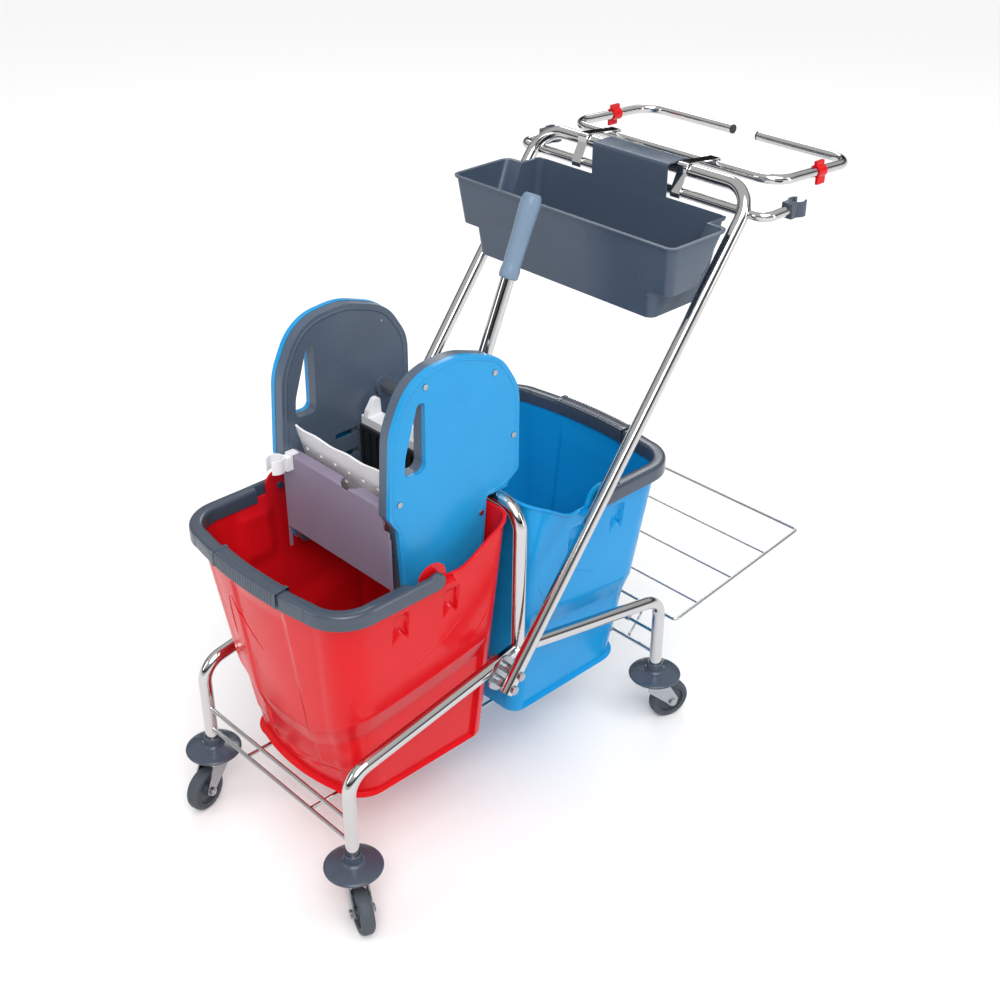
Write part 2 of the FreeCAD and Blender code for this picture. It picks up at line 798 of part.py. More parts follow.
def half_shell(face_y, seam_y, inset, sign):
    """One half of a side plate: a face and a rim wall, open at the seam."""
    face_y, seam_y = sign * face_y, sign * seam_y
    inward = shell_wall if seam_y > face_y else -shell_wall
    rim = [max(radius - inset, 1) for radius in plate_radii]
    hollow = [max(radius - inset - shell_wall, 0.5) for radius in plate_radii]
    body = side_prism(grown(plate_points, -inset), rim, face_y, seam_y)
    room = side_prism(grown(plate_points, -inset - shell_wall), hollow, face_y + inward, seam_y)
    body = body.cut(room)
    # The hand slot is a walled window, and the screws run in round bosses.
    frame = side_prism(grown(slot_points, shell_wall), [radius + shell_wall for radius in slot_radii],
                       face_y, seam_y)
    bosses = []
    for x, z in screw_places:
        bosses.append(cylinder(Vector(x, face_y, z), Vector(x, seam_y, z), shell_boss_dia / 2))
    body = union([body, frame] + bosses)
    window = side_prism(slot_points, slot_radii, face_y - inward, seam_y + inward)
    body = body.cut(window)
    for x, z in screw_places:
        hole = cylinder(Vector(x, face_y - inward, z), Vector(x, seam_y + inward, z),
                        shell_screw_dia / 2)
        body = body.cut(hole)
    return body


pitch_r = gear_module * pinion_teeth / 2
pinion_outer_y = plate_outer_y - blind_boss_depth - touch_gap
shaft_end = plate_outer_y - shell_wall - touch_gap
journal_r = journal_dia / 2
screws = []
for side, sign in (("left", -1), ("right", 1)):
    outer = half_shell(plate_outer_y, plate_seam_y, 0, sign)
    blind = cylinder(Vector(shaft_x, sign * plate_outer_y, shaft_z),
                     Vector(shaft_x, sign * (plate_outer_y - blind_boss_depth), shaft_z), journal_r + 3)
    pocket = cylinder(Vector(shaft_x, sign * (plate_outer_y - shell_wall), shaft_z),
                      Vector(shaft_x, sign * plate_seam_y, shaft_z), journal_r + running_gap)
    save("wringer_shell_" + side, union([outer, blind]).cut(pocket))

    inner = half_shell(plate_inner_y, plate_seam_y, plate_edge_inset, sign)
    boss = cylinder(Vector(shaft_x, sign * plate_inner_y, shaft_z),
                    Vector(shaft_x, sign * (plate_inner_y - shaft_boss_height), shaft_z), boss_dia / 2)
    ends = sorted((sign * (plate_inner_y - 10), sign * (plate_seam_y + 1)))
    bore = cylinder(Vector(shaft_x, ends[0], shaft_z), Vector(shaft_x, ends[1], shaft_z),
                    journal_r + running_gap)
    inner = union([inner, boss]).cut(bore)
    for z in drive_pin_z:
        half = drive_pin_dia / 2 + touch_gap
        low_x = drive_pin_x - press_stroke - half - 1
        high_x = drive_pin_x + half + 1
        y0, y1 = sorted((sign * (plate_inner_y - 1), sign * (plate_inner_y + shell_wall + 1)))
        slot = side_prism([(low_x, z - half), (high_x, z - half), (high_x, z + half), (low_x, z + half)],
                          [half - 0.5] * 4, y0, y1)
        inner = inner.cut(slot)
    save("wringer_inner_" + side, inner)

    for x, z in screw_places:
        head = cylinder(Vector(x, sign * plate_outer_y, z), Vector(x, sign * (plate_outer_y + shell_screw_head), z),
                        shell_screw_head_dia / 2)
        shank = cylinder(Vector(x, sign * plate_outer_y, z), Vector(x, sign * (plate_inner_y + 1), z),
                         shell_screw_dia / 2)
        screws.append(union([head, shank]))
save("shell_screws", screws)

# ---------------------------------------------------------------- jaws and panels
front = side_prism([
    (panel_front_x, panel_bottom_z), (panel_front_x, panel_top_z), (panel_lip_back_x, panel_top_z),
    (panel_lip_back_x, panel_top_z - panel_thickness),
    (panel_front_x + panel_thickness, panel_top_z - panel_thickness),
    (panel_front_x + panel_thickness, panel_bottom_z)],
    [0, 4, 0, 0, 1.5, 0], -panel_half_width, panel_half_width)
flank = box(panel_front_x, panel_front_x + 4.5, panel_half_width - panel_thickness, panel_half_width,
            panel_bottom_z - 38, 600)
flanks = [flank, mirror_y(flank)]
notch = Vector(panel_lip_back_x + 4, panel_notch_y, panel_top_z)
front = front.cut(cylinder(notch - Vector(0, 0, 8), notch + Vector(0, 0, 8), panel_notch_radius))
for sign in (-1, 1):
    y0, y1 = sorted((sign * (plate_inner_y - touch_gap), sign * (panel_half_width + 1)))
    front = front.cut(box(-220, -180, y0, y1, 612, 700))
save("front_panel", union([front] + flanks))


def slanted(distance):
    """A point on the front jaw, measured down its face from the top edge."""
    top = Vector(front_jaw_top[0], 0, front_jaw_top[1])
    bottom = Vector(front_jaw_bottom[0], 0, front_jaw_bottom[1])
    return top + (bottom - top).normalize() * distance


jaw_length = math.hypot(front_jaw_bottom[0] - front_jaw_top[0], front_jaw_bottom[1] - front_jaw_top[1])
jaw_down = slanted(1) - slanted(0)
jaw_out = Vector(-jaw_down.z, 0, jaw_down.x)
wave = Part.BSplineCurve()
wave_points = [(-1.0, 4.0), (-0.62, 0.0), (-0.4, 4.0), (-0.1, 2.0), (0.25, 6.0), (0.6, 2.0), (0.85, 4.0), (1.0, 0.0)]
wave.interpolate([slanted(drop) + Vector(0, share * jaw_half_width, 0) for share, drop in wave_points])
start = slanted(wave_points[0][1]) + Vector(0, -jaw_half_width, 0)
stop = slanted(wave_points[-1][1]) + Vector(0, jaw_half_width, 0)
foot_right = slanted(jaw_length) + Vector(0, jaw_half_width, 0)
foot_left = slanted(jaw_length) + Vector(0, -jaw_half_width, 0)
jaw_wire = Part.Wire([
    wave.toShape(),
    Part.makeLine(stop, foot_right),
    Part.makeLine(foot_right, foot_left),
    Part.makeLine(foot_left, start),
])
front_jaw = prism(jaw_wire, jaw_out * jaw_thickness)
hole_pitch = 34.0
for row in range(5):
    for column in range(-3, 4):
        stagger = hole_pitch / 2 if row % 2 else 0
        y = column * hole_pitch + stagger
        if abs(y) > jaw_half_width - 12:
            continue
        place = slanted(jaw_first_hole + row * 26) + Vector(0, y, 0)
        front_jaw = front_jaw.cut(cylinder(place - jaw_out * 4, place + jaw_out * 8, jaw_hole_dia / 2))
save("front_jaw", front_jaw)

drain_front_x = front_jaw_bottom[0] + 7
drain_back_x = -30.0
drain_hole_dia = 10.0
drain = box(drain_front_x, drain_back_x, -jaw_half_width, jaw_half_width,
            floor_plate_z, floor_plate_z + jaw_thickness)
for column in range(-4, 5):
    y = column * 24.0
    for x in (-104.0, -76.0, -48.0):
        hole_foot = Vector(x, y, floor_plate_z - cut_margin)
        hole_top = Vector(x, y, floor_plate_z + 2 * cut_margin)
        drain = drain.cut(cylinder(hole_foot, hole_top, drain_hole_dia / 2))
skirt = box(drain_front_x, drain_front_x + jaw_thickness, -jaw_half_width, jaw_half_width,
            plate_bottom_z, floor_plate_z)
apron = box(drain_back_x - jaw_thickness, drain_back_x, -jaw_half_width, jaw_half_width,
            plate_bottom_z, floor_plate_z)
save("drain_floor", union([drain, skirt, apron]))

# The spring clip that parks a mop handle on the panel's front corner.
clip_bore_r = mop_handle_dia / 2 + 0.5
clip_ring_r = clip_bore_r + 3.0
clip_centre_x = plate_front_x - touch_gap - clip_ring_r
clip_back_x = panel_front_x - touch_gap
clip_front_x = clip_centre_x + clip_bore_r - 1.0
clip_low_y = rest_clip_y - 15.0
clip_high_y = plate_inner_y - 1.5
clip_height = 23.0
clip_block = box(clip_front_x, clip_back_x, clip_low_y, clip_high_y, rest_clip_z, rest_clip_z + clip_height)
ring_centre = Vector(clip_centre_x, rest_clip_y, rest_clip_z)
clip_top = ring_centre + Vector(0, 0, clip_height)
clip_body = union([clip_block, cylinder(ring_centre, clip_top, clip_ring_r)])
overrun = Vector(0, 0, cut_margin)
clip_bore = cylinder(ring_centre - overrun, clip_top + overrun, clip_bore_r)
clip_mouth = box(clip_centre_x - 2 * clip_ring_r, clip_centre_x, rest_clip_y - 7.5, rest_clip_y + 7.5,
                 rest_clip_z - cut_margin, rest_clip_z + clip_height + cut_margin)
tongue_top = panel_top_z + panel_thickness + touch_gap
riser = box(clip_back_x - 4, clip_back_x, clip_low_y, clip_high_y, rest_clip_z + 20, tongue_top)
tongue = box(clip_back_x - 4, panel_front_x + 11, clip_low_y, clip_high_y, panel_top_z + touch_gap, tongue_top)
save("rest_clip", union([clip_body.cut(clip_bore).cut(clip_mouth), riser, tongue]))


# ---------------------------------------------------------------- lever and gears
def involute_gear(teeth, width, start, direction, phase):
    """A spur gear with involute flanks, thinned by the backlash."""
    radius = gear_module * teeth / 2
    base_r = radius * math.cos(math.radians(pressure_angle))
    tip_r = radius + gear_module * 0.95
    root_r = radius - gear_module * 1.25
    roll_at_pitch = math.tan(math.radians(pressure_angle)) - math.radians(pressure_angle)
    half_tooth = math.pi / (2 * teeth) - gear_backlash / (2 * radius)
    points = []
    for tooth in range(teeth):
        middle = phase + 2 * math.pi * tooth / teeth
        flank = []
        for step in range(5):
            r = base_r + (tip_r - base_r) * step / 4
            angle = math.sqrt(max((r / base_r) ** 2 - 1, 0))
            roll = angle - math.atan(angle)
            flank.append((r, half_tooth + roll_at_pitch - roll))
        points.append((root_r, middle - flank[0][1] - 0.01))
        points.extend((r, middle - offset) for r, offset in flank)
        points.extend((r, middle + offset) for r, offset in reversed(flank))
        points.append((root_r, middle + flank[0][1] + 0.01))
    corners = [Vector(r * math.cos(a), r * math.sin(a), 0) for r, a in points]
    gear = prism(Part.makePolygon(corners + [corners[0]]), Vector(0, 0, width))
    gear.Placement = FreeCAD.Placement(start, FreeCAD.Rotation(Z_AXIS, direction))
    return gear


lean_rad = math.radians(lever_lean)
lever_up = Vector(math.sin(lean_rad), 0, math.cos(lean_rad))
octagon_end = plate_inner_y - shaft_boss_height - touch_gap
octagon = []
for corner in range(9):
    turn = math.radians(45 * corner + 22.5)
    octagon.append(Vector(shaft_x + shaft_dia / 2 * math.cos(turn), -octagon_end,
                          shaft_z + shaft_dia / 2 * math.sin(turn)))
shaft = union([
    cylinder(Vector(shaft_x, -shaft_end, shaft_z), Vector(shaft_x, shaft_end, shaft_z), journal_r),
    prism(Part.makePolygon(octagon), Vector(0, 2 * octagon_end, 0)),
])
save("wringer_shaft", shaft)

rack_phase = math.pi / 2
pinions = []
pinion_inner_y = pinion_outer_y - pinion_width
for sign in (-1, 1):
    y0 = min(sign * pinion_inner_y, sign * pinion_outer_y)
    gear = involute_gear(pinion_teeth, pinion_width, ORIGIN, Z_AXIS, rack_phase)
    gear.rotate(ORIGIN, X_AXIS, 90)
    gear.translate(Vector(shaft_x, y0 + pinion_width, shaft_z))
    bore = cylinder(Vector(shaft_x, y0 - 1, shaft_z), Vector(shaft_x, y0 + pinion_width + 1, shaft_z),
                    journal_r)
    pinions.append(gear.cut(bore))
save("pinions", pinions)

hub_start = Vector(shaft_x, lever_y - lever_hub_width / 2, shaft_z)
hub_end = Vector(shaft_x, lever_y + lever_hub_width / 2, shaft_z)
middle = Vector(shaft_x, lever_y, shaft_z)
socket_top = middle + lever_up * (lever_hub_dia / 2 + 14)
lever_foot = middle + lever_up * (shaft_dia / 2 + 1)
hub_body = union([
    cylinder(hub_start, hub_end, lever_hub_dia / 2),
    cylinder(middle, socket_top, lever_tube_dia / 2 + 3.5),
])
hub_body = hub_body.cut(shaft).cut(cylinder(lever_foot, socket_top + lever_up, lever_tube_dia / 2))
save("lever_hub", hub_body)
lever_end = middle + lever_up * lever_reach
lever_tube = cylinder(lever_foot, lever_end, lever_tube_dia / 2)
lever_tube = lever_tube.cut(cylinder(lever_foot, lever_end, lever_tube_dia / 2 - tube_wall))
save("lever_tube", lever_tube)
grip_start = lever_end - lever_up * (grip_length - 6)
grip_profile = [
    (lever_tube_dia / 2, 0), (grip_dia / 2 - 1.5, 0), (grip_dia / 2, 3), (grip_dia / 2, 12),
    (grip_dia / 2 - 1.5, 22), (grip_dia / 2 - 0.5, grip_length * 0.6), (grip_dia / 2 + 1, grip_length - 14),
    (grip_dia / 2 - 1, grip_length - 4), (grip_dia / 2 - 4, grip_length), (0, grip_length),
    (0, grip_length - 6), (lever_tube_dia / 2, grip_length - 6),
]
grip = turned(grip_profile)
grip.Placement = FreeCAD.Placement(grip_start, FreeCAD.Rotation(Z_AXIS, lever_up))
save("lever_grip", grip)

# Press plate: a light carrier with a ribbed dark face, driven by both racks.
press_half = plate_inner_y - 3.0
carrier_front_x = press_face_x + 6
carrier_parts = [
    box(carrier_front_x, carrier_front_x + 4, -press_half, press_half, press_bottom_z, press_top_z - 4),
    box(carrier_front_x, carrier_front_x + 30, -press_half, press_half, press_top_z - 4, press_top_z),
]
for y0, y1 in ((-106, -98), (38, 46), (96, 106)):
    carrier_parts.append(side_prism([
        (carrier_front_x, press_top_z - 2), (carrier_front_x + 3, press_top_z + 10),
        (carrier_front_x + 16, press_top_z + 28), (carrier_front_x + 27, press_top_z + 28),
        (carrier_front_x + 29, press_top_z - 2)], [0, 6, 8, 5, 0], y0, y1))
carrier = union(carrier_parts)
save("press_carrier", carrier)
face = box(press_face_x, press_face_x + 6, -press_half + 2, press_half - 2, press_bottom_z, press_top_z - 14)
rib_count = 13
for index in range(rib_count):
    y = -press_half + 10 + index * (2 * press_half - 20) / (rib_count - 1)
    face = face.cut(box(press_face_x - 1, press_face_x + press_rib, y - 3, y + 3,
                        press_bottom_z + 8, press_top_z - 22))
save("press_face", face)

carriages = []
pitch_line = shaft_z + pitch_r
tooth_pitch = math.pi * gear_module
addendum = gear_module * 0.95
dedendum = gear_module * 1.25
tan_flank = math.tan(math.radians(pressure_angle))
web_inner_y = plate_inner_y + shell_wall + touch_gap
web_outer_y = web_inner_y + carriage_thickness
for sign in (-1, 1):
    y0, y1 = sorted((sign * web_inner_y, sign * pinion_outer_y))
    top = pitch_line + rack_height
    root = pitch_line + dedendum
    rack = box(carriage_front_x, rack_back_x, y0, y1, root, top)
    half_thick = tooth_pitch / 4 - gear_backlash / 2
    tooth = first_tooth
    while shaft_x + (tooth + 0.5) * tooth_pitch + half_thick + dedendum < rack_back_x:
        x = shaft_x + (tooth + 0.5) * tooth_pitch
        wide = half_thick + dedendum * tan_flank
        slim = half_thick - addendum * tan_flank
        profile = [Vector(x - wide, y0, root), Vector(x - slim, y0, pitch_line - addendum),
                   Vector(x + slim, y0, pitch_line - addendum), Vector(x + wide, y0, root)]
        rack = rack.fuse(prism(Part.makePolygon(profile + [profile[0]]), Vector(0, y1 - y0, 0)))
        tooth += 1
    web_y = sorted((sign * web_inner_y, sign * web_outer_y))
    web = box(carriage_front_x, carriage_back_x, web_y[0], web_y[1], carriage_bottom_z, top)
    pins = []
    for z in drive_pin_z:
        pins.append(cylinder(Vector(drive_pin_x, sign * web_inner_y, z),
                             Vector(drive_pin_x, sign * press_half, z), drive_pin_dia / 2))
    carriages.append(union([rack, web] + pins))
save("rack_carriages", carriages)


# ---------------------------------------------------------------- utility tray
def tray_body(grow, top_z):
    """Outer or inner form of the tray: a deep middle and two shallow wings."""
    def level(z, low, high, z_low, z_high):
        return low + (high - low) * (z - z_low) / (z_high - z_low)

    def section(z, x0, x1, half):
        points = [Vector(x0 - grow, -half - grow, z), Vector(x1 + grow, -half - grow, z),
                  Vector(x1 + grow, half + grow, z), Vector(x0 - grow, half + grow, z)]
        radius = 14.0 + grow
        return outline(points, [radius] * 4)

    low = tray_bottom_z - grow
    front = [level(z, tray_front_bottom_x, tray_front_rim_x, tray_bottom_z, tray_rim_z) for z in (low, top_z)]
    back = [level(z, tray_back_bottom_x, tray_back_rim_x, tray_bottom_z, tray_rim_z) for z in (low, top_z)]
    half = [level(z, tray_half_bottom, tray_half_back, tray_bottom_z, tray_rim_z) for z in (low, top_z)]
    deep = Part.makeLoft([section(low, front[0], back[0], half[0]),
                          section(top_z, front[1], back[1], half[1])], True, True)
    ledge = tray_step_z - grow
    front = [level(z, tray_front_bottom_x, tray_front_rim_x, tray_bottom_z, tray_rim_z) for z in (ledge, top_z)]
    wing = [level(z, tray_wing_step_x, tray_wing_rim_x, tray_step_z, tray_rim_z) for z in (ledge, top_z)]
    half = [level(z, tray_half_step, tray_half_rim, tray_step_z, tray_rim_z) for z in (ledge, top_z)]
    wings = Part.makeLoft([section(ledge, front[0], wing[0], half[0]),
                           section(top_z, front[1], wing[1], half[1])], True, True)
    return deep.fuse(wings)


tray_outer = tray_body(0, tray_rim_z)
tray_inner = tray_body(-tray_wall, tray_rim_z + 1)
rim_band = tray_body(tray_lip, tray_rim_z)
rim_band = rim_band.common(box(0, 900, -400, 400, tray_rim_z - 3, tray_rim_z + 1))
rim_band = rim_band.cut(box(tray_back_rim_x - tray_wall / 2, 900, -400, 400, 900, 1000))
hook_r = tube_r + touch_gap
hook_top = handle_top_z + hook_r
hook = side_prism([
    (tray_back_rim_x - tray_wall, tray_rim_z - 20), (tray_back_rim_x - tray_wall, hook_top + tray_wall),
    (handle_top_x + hook_r + tray_wall, hook_top + tray_wall),
    (handle_top_x + hook_r + tray_wall, hook_top - 14), (handle_top_x + hook_r, hook_top - 14),
    (handle_top_x + hook_r, hook_top), (tray_back_rim_x, hook_top), (tray_back_rim_x, tray_rim_z - 20)],
    [0, 5, 5, 0, 0, 2.5, 2.5, 0], -tray_panel_half, tray_panel_half)
tray = union([tray_outer.fuse(rim_band).cut(tray_inner), hook])
save("utility_tray", tray)

# ---------------------------------------------------------------- bag loop
loop_path = [
    Vector(loop_back_x, -loop_end_gap / 2, loop_back_z),
    Vector(loop_back_x, -loop_half_width, loop_back_z),
    Vector(loop_front_x, -loop_half_width, loop_front_z),
    Vector(loop_front_x, loop_half_width, loop_front_z),
    Vector(loop_back_x, loop_half_width, loop_back_z),
    Vector(loop_back_x, loop_end_gap / 2, loop_back_z),
]
loop_r = loop_dia / 2
save("bag_loop", tube(loop_path, [loop_bend] * 4, loop_r, loop_wall))
plugs = []
for sign in (-1, 1):
    end = Vector(loop_back_x, sign * loop_end_gap / 2, loop_back_z)
    inside = end + Vector(0, sign * 12, 0)
    cap = end - Vector(0, sign * 3, 0)
    plugs.append(union([cylinder(cap, end, loop_r), cylinder(end, inside, loop_r - loop_wall)]))
save("loop_end_plugs", plugs)

# Flat straps run up the front of both cross tubes and back over the loop.
straps = []
strap_out = strap_thickness
cross_front = crossbar_x - crossbar_dia / 2
top_front = handle_top_x - tube_r
top_over = handle_top_z + tube_r
loop_over = loop_front_z + loop_r + strap_clearance
loop_behind = loop_front_x + loop_r
for y in (strap_right_y, strap_left_y):
    y0 = y - strap_width / 2
    straps.append(side_prism([
        (cross_front - strap_out, crossbar_z - 7),
        (cross_front - strap_out, crossbar_z + 3),
        (top_front - strap_out, handle_top_z - 3),
        (top_front - strap_out, top_over + strap_out),
        (handle_top_x + 2, top_over + strap_out),
        (loop_front_x, loop_over + strap_out),
        (loop_behind + strap_out, loop_over + strap_out),
        (loop_behind + strap_out, loop_front_z - 4),
        (loop_behind, loop_front_z - 4),
        (loop_behind, loop_over),
        (loop_front_x, loop_over),
        (handle_top_x + 2, top_over),
        (top_front + 4, top_over),
        (top_front, top_over - 4),
        (top_front, handle_top_z - 3),
        (cross_front, crossbar_z + 2),
        (cross_front, crossbar_z - 7),
    ], [0, 0, 0, 6, 0, 0, 4, 0, 0, 1, 0, 0, 2, 2, 0, 0, 0], y0, y0 + strap_width))
save("bag_straps", straps)

# Red clips that pinch a bag's rim against the loop's two side runs.
clips = []
loop_side = Vector(loop_back_x - loop_front_x, 0, loop_back_z - loop_front_z).normalize()
for sign in (-1, 1):
    centre = Vector((loop_front_x + loop_back_x) / 2 + 8, sign * loop_half_width,
                    (loop_front_z + loop_back_z) / 2 - 0.4)
    ring = cylinder(centre - loop_side * (bag_clip_width / 2), centre + loop_side * (bag_clip_width / 2),
                    loop_r + 2.5)
    tab = box(centre.x - bag_clip_width / 2, centre.x + bag_clip_width / 2, -3, 3, centre.z + loop_r,
              centre.z + loop_r + 9)
    tab.translate(Vector(0, centre.y, 0))
    toe = box(centre.x - bag_clip_width / 2, centre.x + bag_clip_width / 2, -3, 3, centre.z - loop_r - 12,
              centre.z - loop_r)
    toe.translate(Vector(0, centre.y + sign * 4, 0))
    core = cylinder(centre - loop_side * 40, centre + loop_side * 40, loop_r + bag_clip_play)
    mouth = box(centre.x - 40, centre.x + 40, -2.2, 2.2, centre.z - loop_r - 30, centre.z)
    mouth.translate(Vector(0, centre.y, 0))
    clips.append(union([ring, tab, toe]).cut(core).cut(mouth))
save("bag_clips", clips)

# Grey spring clips for mop handles, screwed to the crossbar's two ends.
mop_clips = []
for sign in (-1, 1):
    seat_x = crossbar_tip_x
    y = sign * crossbar_half
    block = box(seat_x, seat_x + 14, y - 10, y + 10, crossbar_z - mop_clip_height / 2,
                crossbar_z + mop_clip_height / 2)
    ring_x = seat_x + 14 + mop_handle_dia / 2 + 1
    low = Vector(ring_x, y, crossbar_z - mop_clip_height / 2)
    high = Vector(ring_x, y, crossbar_z + mop_clip_height / 2)
    ring = cylinder(low, high, mop_handle_dia / 2 + mop_clip_wall)
    bore = cylinder(low - Z_AXIS * 9, high + Z_AXIS * 9, mop_handle_dia / 2)
    half_mouth = (mop_handle_dia / 2 + mop_clip_wall) * math.sin(math.radians(mop_clip_opening / 2))
    mouth = box(ring_x, ring_x + 40, y - half_mouth, y + half_mouth, crossbar_z - 40, crossbar_z + 40)
    mop_clips.append(union([block, ring]).cut(bore).cut(mouth))
save("mop_clips", mop_clips)

# ---------------------------------------------------------------- platform
rise = math.tan(math.radians(platform_rise))


def platform_z(x):
    return high_wire_z + (x - leg_x) * rise


platform_r = platform_wire / 2
frame_loop = outline([
    Vector(platform_first_x, -platform_half_width, platform_z(platform_first_x)),
    Vector(platform_last_x, -platform_half_width, platform_z(platform_last_x)),
    Vector(platform_last_x, platform_half_width, platform_z(platform_last_x)),
    Vector(platform_first_x, platform_half_width, platform_z(platform_first_x)),
], [8.0] * 4)
loop_start = frame_loop.Edges[0]
loop_ring = Part.Wire(Part.makeCircle(
    platform_r, loop_start.valueAt(loop_start.FirstParameter), loop_start.tangentAt(loop_start.FirstParameter)))
platform = [frame_loop.makePipeShell([loop_ring], True, False)]
for x in platform_wires_x:
    z = platform_z(x)
    platform.append(cylinder(Vector(x, -platform_half_width, z), Vector(x, platform_half_width, z),
                             platform_cross_wire / 2))
eye_r = wire_r + running_gap
arm_r = platform_arm_wire / 2
stay_r = platform_cross_wire / 2
first_z = platform_z(platform_first_x)
arm_start_x = leg_x + eye_r + 1
for sign in (-1, 1):
    y = sign * platform_hinge_half
    eye = cylinder(Vector(leg_x, y - 4, high_wire_z), Vector(leg_x, y + 4, high_wire_z), eye_r + arm_r)
    arm = cylinder(Vector(arm_start_x, y, platform_z(arm_start_x)), Vector(platform_first_x, y, first_z), arm_r)
    rest = Vector(leg_x + wire_r + touch_gap + stay_r, y, low_wire_z)
    stay = cylinder(Vector(platform_first_x, y, first_z), rest, stay_r)
    foot = cylinder(rest + Vector(0, 0, 6), rest - Vector(0, 0, 6), stay_r - 0.1)
    bore = cylinder(Vector(leg_x, y - 9, high_wire_z), Vector(leg_x, y + 9, high_wire_z), eye_r)
    platform.append(union([eye, arm, stay, foot]).cut(bore))
save("platform", union(platform))
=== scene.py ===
import bmesh
import bpy
import json
import math
from mathutils import Matrix, Vector


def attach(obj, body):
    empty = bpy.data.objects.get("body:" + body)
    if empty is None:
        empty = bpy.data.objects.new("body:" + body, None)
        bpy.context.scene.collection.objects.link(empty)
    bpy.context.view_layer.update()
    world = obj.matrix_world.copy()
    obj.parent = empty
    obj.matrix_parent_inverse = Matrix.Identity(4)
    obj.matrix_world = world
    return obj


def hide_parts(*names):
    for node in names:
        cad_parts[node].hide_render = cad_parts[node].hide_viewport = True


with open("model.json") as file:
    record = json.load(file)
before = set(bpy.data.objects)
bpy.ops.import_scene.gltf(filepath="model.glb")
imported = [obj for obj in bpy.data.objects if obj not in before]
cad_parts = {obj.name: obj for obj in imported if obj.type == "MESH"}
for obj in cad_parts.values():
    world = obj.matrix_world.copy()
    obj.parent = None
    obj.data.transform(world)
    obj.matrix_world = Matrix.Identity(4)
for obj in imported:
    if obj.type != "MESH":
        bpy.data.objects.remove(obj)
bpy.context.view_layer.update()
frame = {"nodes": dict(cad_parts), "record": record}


# ------------------------------------------------------------ chromed tube frame
# The trolley's legs, rails, arch, push handle and bag loop are bent steel tube with a bright
# nickel-chrome plating. The plating mirrors the room, with faint waves left by the bending.
def linear(text):
    """An sRGB hex colour as linear RGBA."""
    channels = [int(text[i:i + 2], 16) / 255 for i in (1, 3, 5)]
    return [c / 12.92 if c <= 0.04045 else ((c + 0.055) / 1.055) ** 2.4 for c in channels] + [1.0]


def add_node(tree, kind, values=None, **settings):
    """A shader node with its settings and its unlinked input values."""
    node = tree.nodes.new(kind)
    for name, value in settings.items():
        setattr(node, name, value)
    for name, value in (values or {}).items():
        node.inputs[name].default_value = value
    return node


def plated_steel(name, colour, smooth, dull, patch_mm, wave_mm):
    """Polished plating: a mirror whose gloss varies in patches, with a slight waviness."""
    material = bpy.data.materials.new(name)
    material.use_nodes = True
    tree = material.node_tree
    tree.nodes.clear()
    place = add_node(tree, "ShaderNodeTexCoord")
    patches = add_node(tree, "ShaderNodeTexNoise", {"Scale": 1000 / patch_mm, "Detail": 4.0})
    waves = add_node(tree, "ShaderNodeTexNoise", {"Scale": 1000 / wave_mm, "Detail": 1.0})
    gloss = add_node(tree, "ShaderNodeMapRange", {
        "From Min": 0.3, "From Max": 0.7, "To Min": smooth, "To Max": dull})
    bump = add_node(tree, "ShaderNodeBump", {"Strength": 0.12, "Distance": 0.0006})
    metal = add_node(tree, "ShaderNodeBsdfPrincipled", {
        "Base Color": linear(colour), "Metallic": 1.0, "IOR": 1.5})
    out = add_node(tree, "ShaderNodeOutputMaterial")
    tree.links.new(place.outputs["Object"], patches.inputs["Vector"])
    tree.links.new(place.outputs["Object"], waves.inputs["Vector"])
    tree.links.new(patches.outputs["Fac"], gloss.inputs["Value"])
    tree.links.new(waves.outputs["Fac"], bump.inputs["Height"])
    tree.links.new(gloss.outputs["Result"], metal.inputs["Roughness"])
    tree.links.new(bump.outputs["Normal"], metal.inputs["Normal"])
    tree.links.new(metal.outputs["BSDF"], out.inputs["Surface"])
    return material


def dress(node, material, smooth_angle=32.0):
    """Gives a CAD node its material and smooth shading across its shallow edges."""
    piece = frame["nodes"][node]
    piece.data.materials.clear()
    piece.data.materials.append(material)
    for face in piece.data.polygons:
        face.use_smooth = True
    piece.data.set_sharp_from_angle(angle=math.radians(smooth_angle))
    return piece


def softened(node, material, edge_mm, steps=2, smooth_angle=40.0):
    """A detailed copy of a CAD node: flat faces made whole and every sharp edge rounded."""
    source = frame["nodes"][node]
    data = source.data.copy()
    grid = bmesh.new()
    grid.from_mesh(data)
    bmesh.ops.remove_doubles(grid, verts=grid.verts, dist=0.00001)
    bmesh.ops.dissolve_limit(grid, angle_limit=math.radians(0.5), verts=grid.verts, edges=grid.edges)
    bmesh.ops.recalc_face_normals(grid, faces=grid.faces)
    grid.to_mesh(data)
    grid.free()
    piece = bpy.data.objects.new(node + "_rounded", data)
    bpy.context.scene.collection.objects.link(piece)
    data.materials.clear()
    data.materials.append(material)
    for face in data.polygons:
        face.use_smooth = True
        face.material_index = 0
    rounding = piece.modifiers.new("edge rounding", "BEVEL")
    rounding.width = edge_mm / 1000
    rounding.segments = steps
    rounding.limit_method = "ANGLE"
    rounding.angle_limit = math.radians(smooth_angle)
    rounding.harden_normals = True
    rounding.use_clamp_overlap = True
    data.set_sharp_from_angle(angle=math.radians(smooth_angle))
    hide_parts(node)
    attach(piece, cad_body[node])
    return piece


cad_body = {node: body for body, nodes in frame["record"]["behaviour"]["bodies"].items() for node in nodes}

chrome_plate = plated_steel("chrome plated tube", "#C9C8C8", 0.045, 0.10, 60.0, 25.0)
for node in ("side_frame_left", "side_frame_right", "arch_tube", "push_handle",
             "handle_crossbar", "bag_loop", "lever_tube"):
    dress(node, chrome_plate)
softened("bag_straps", chrome_plate, 0.4)


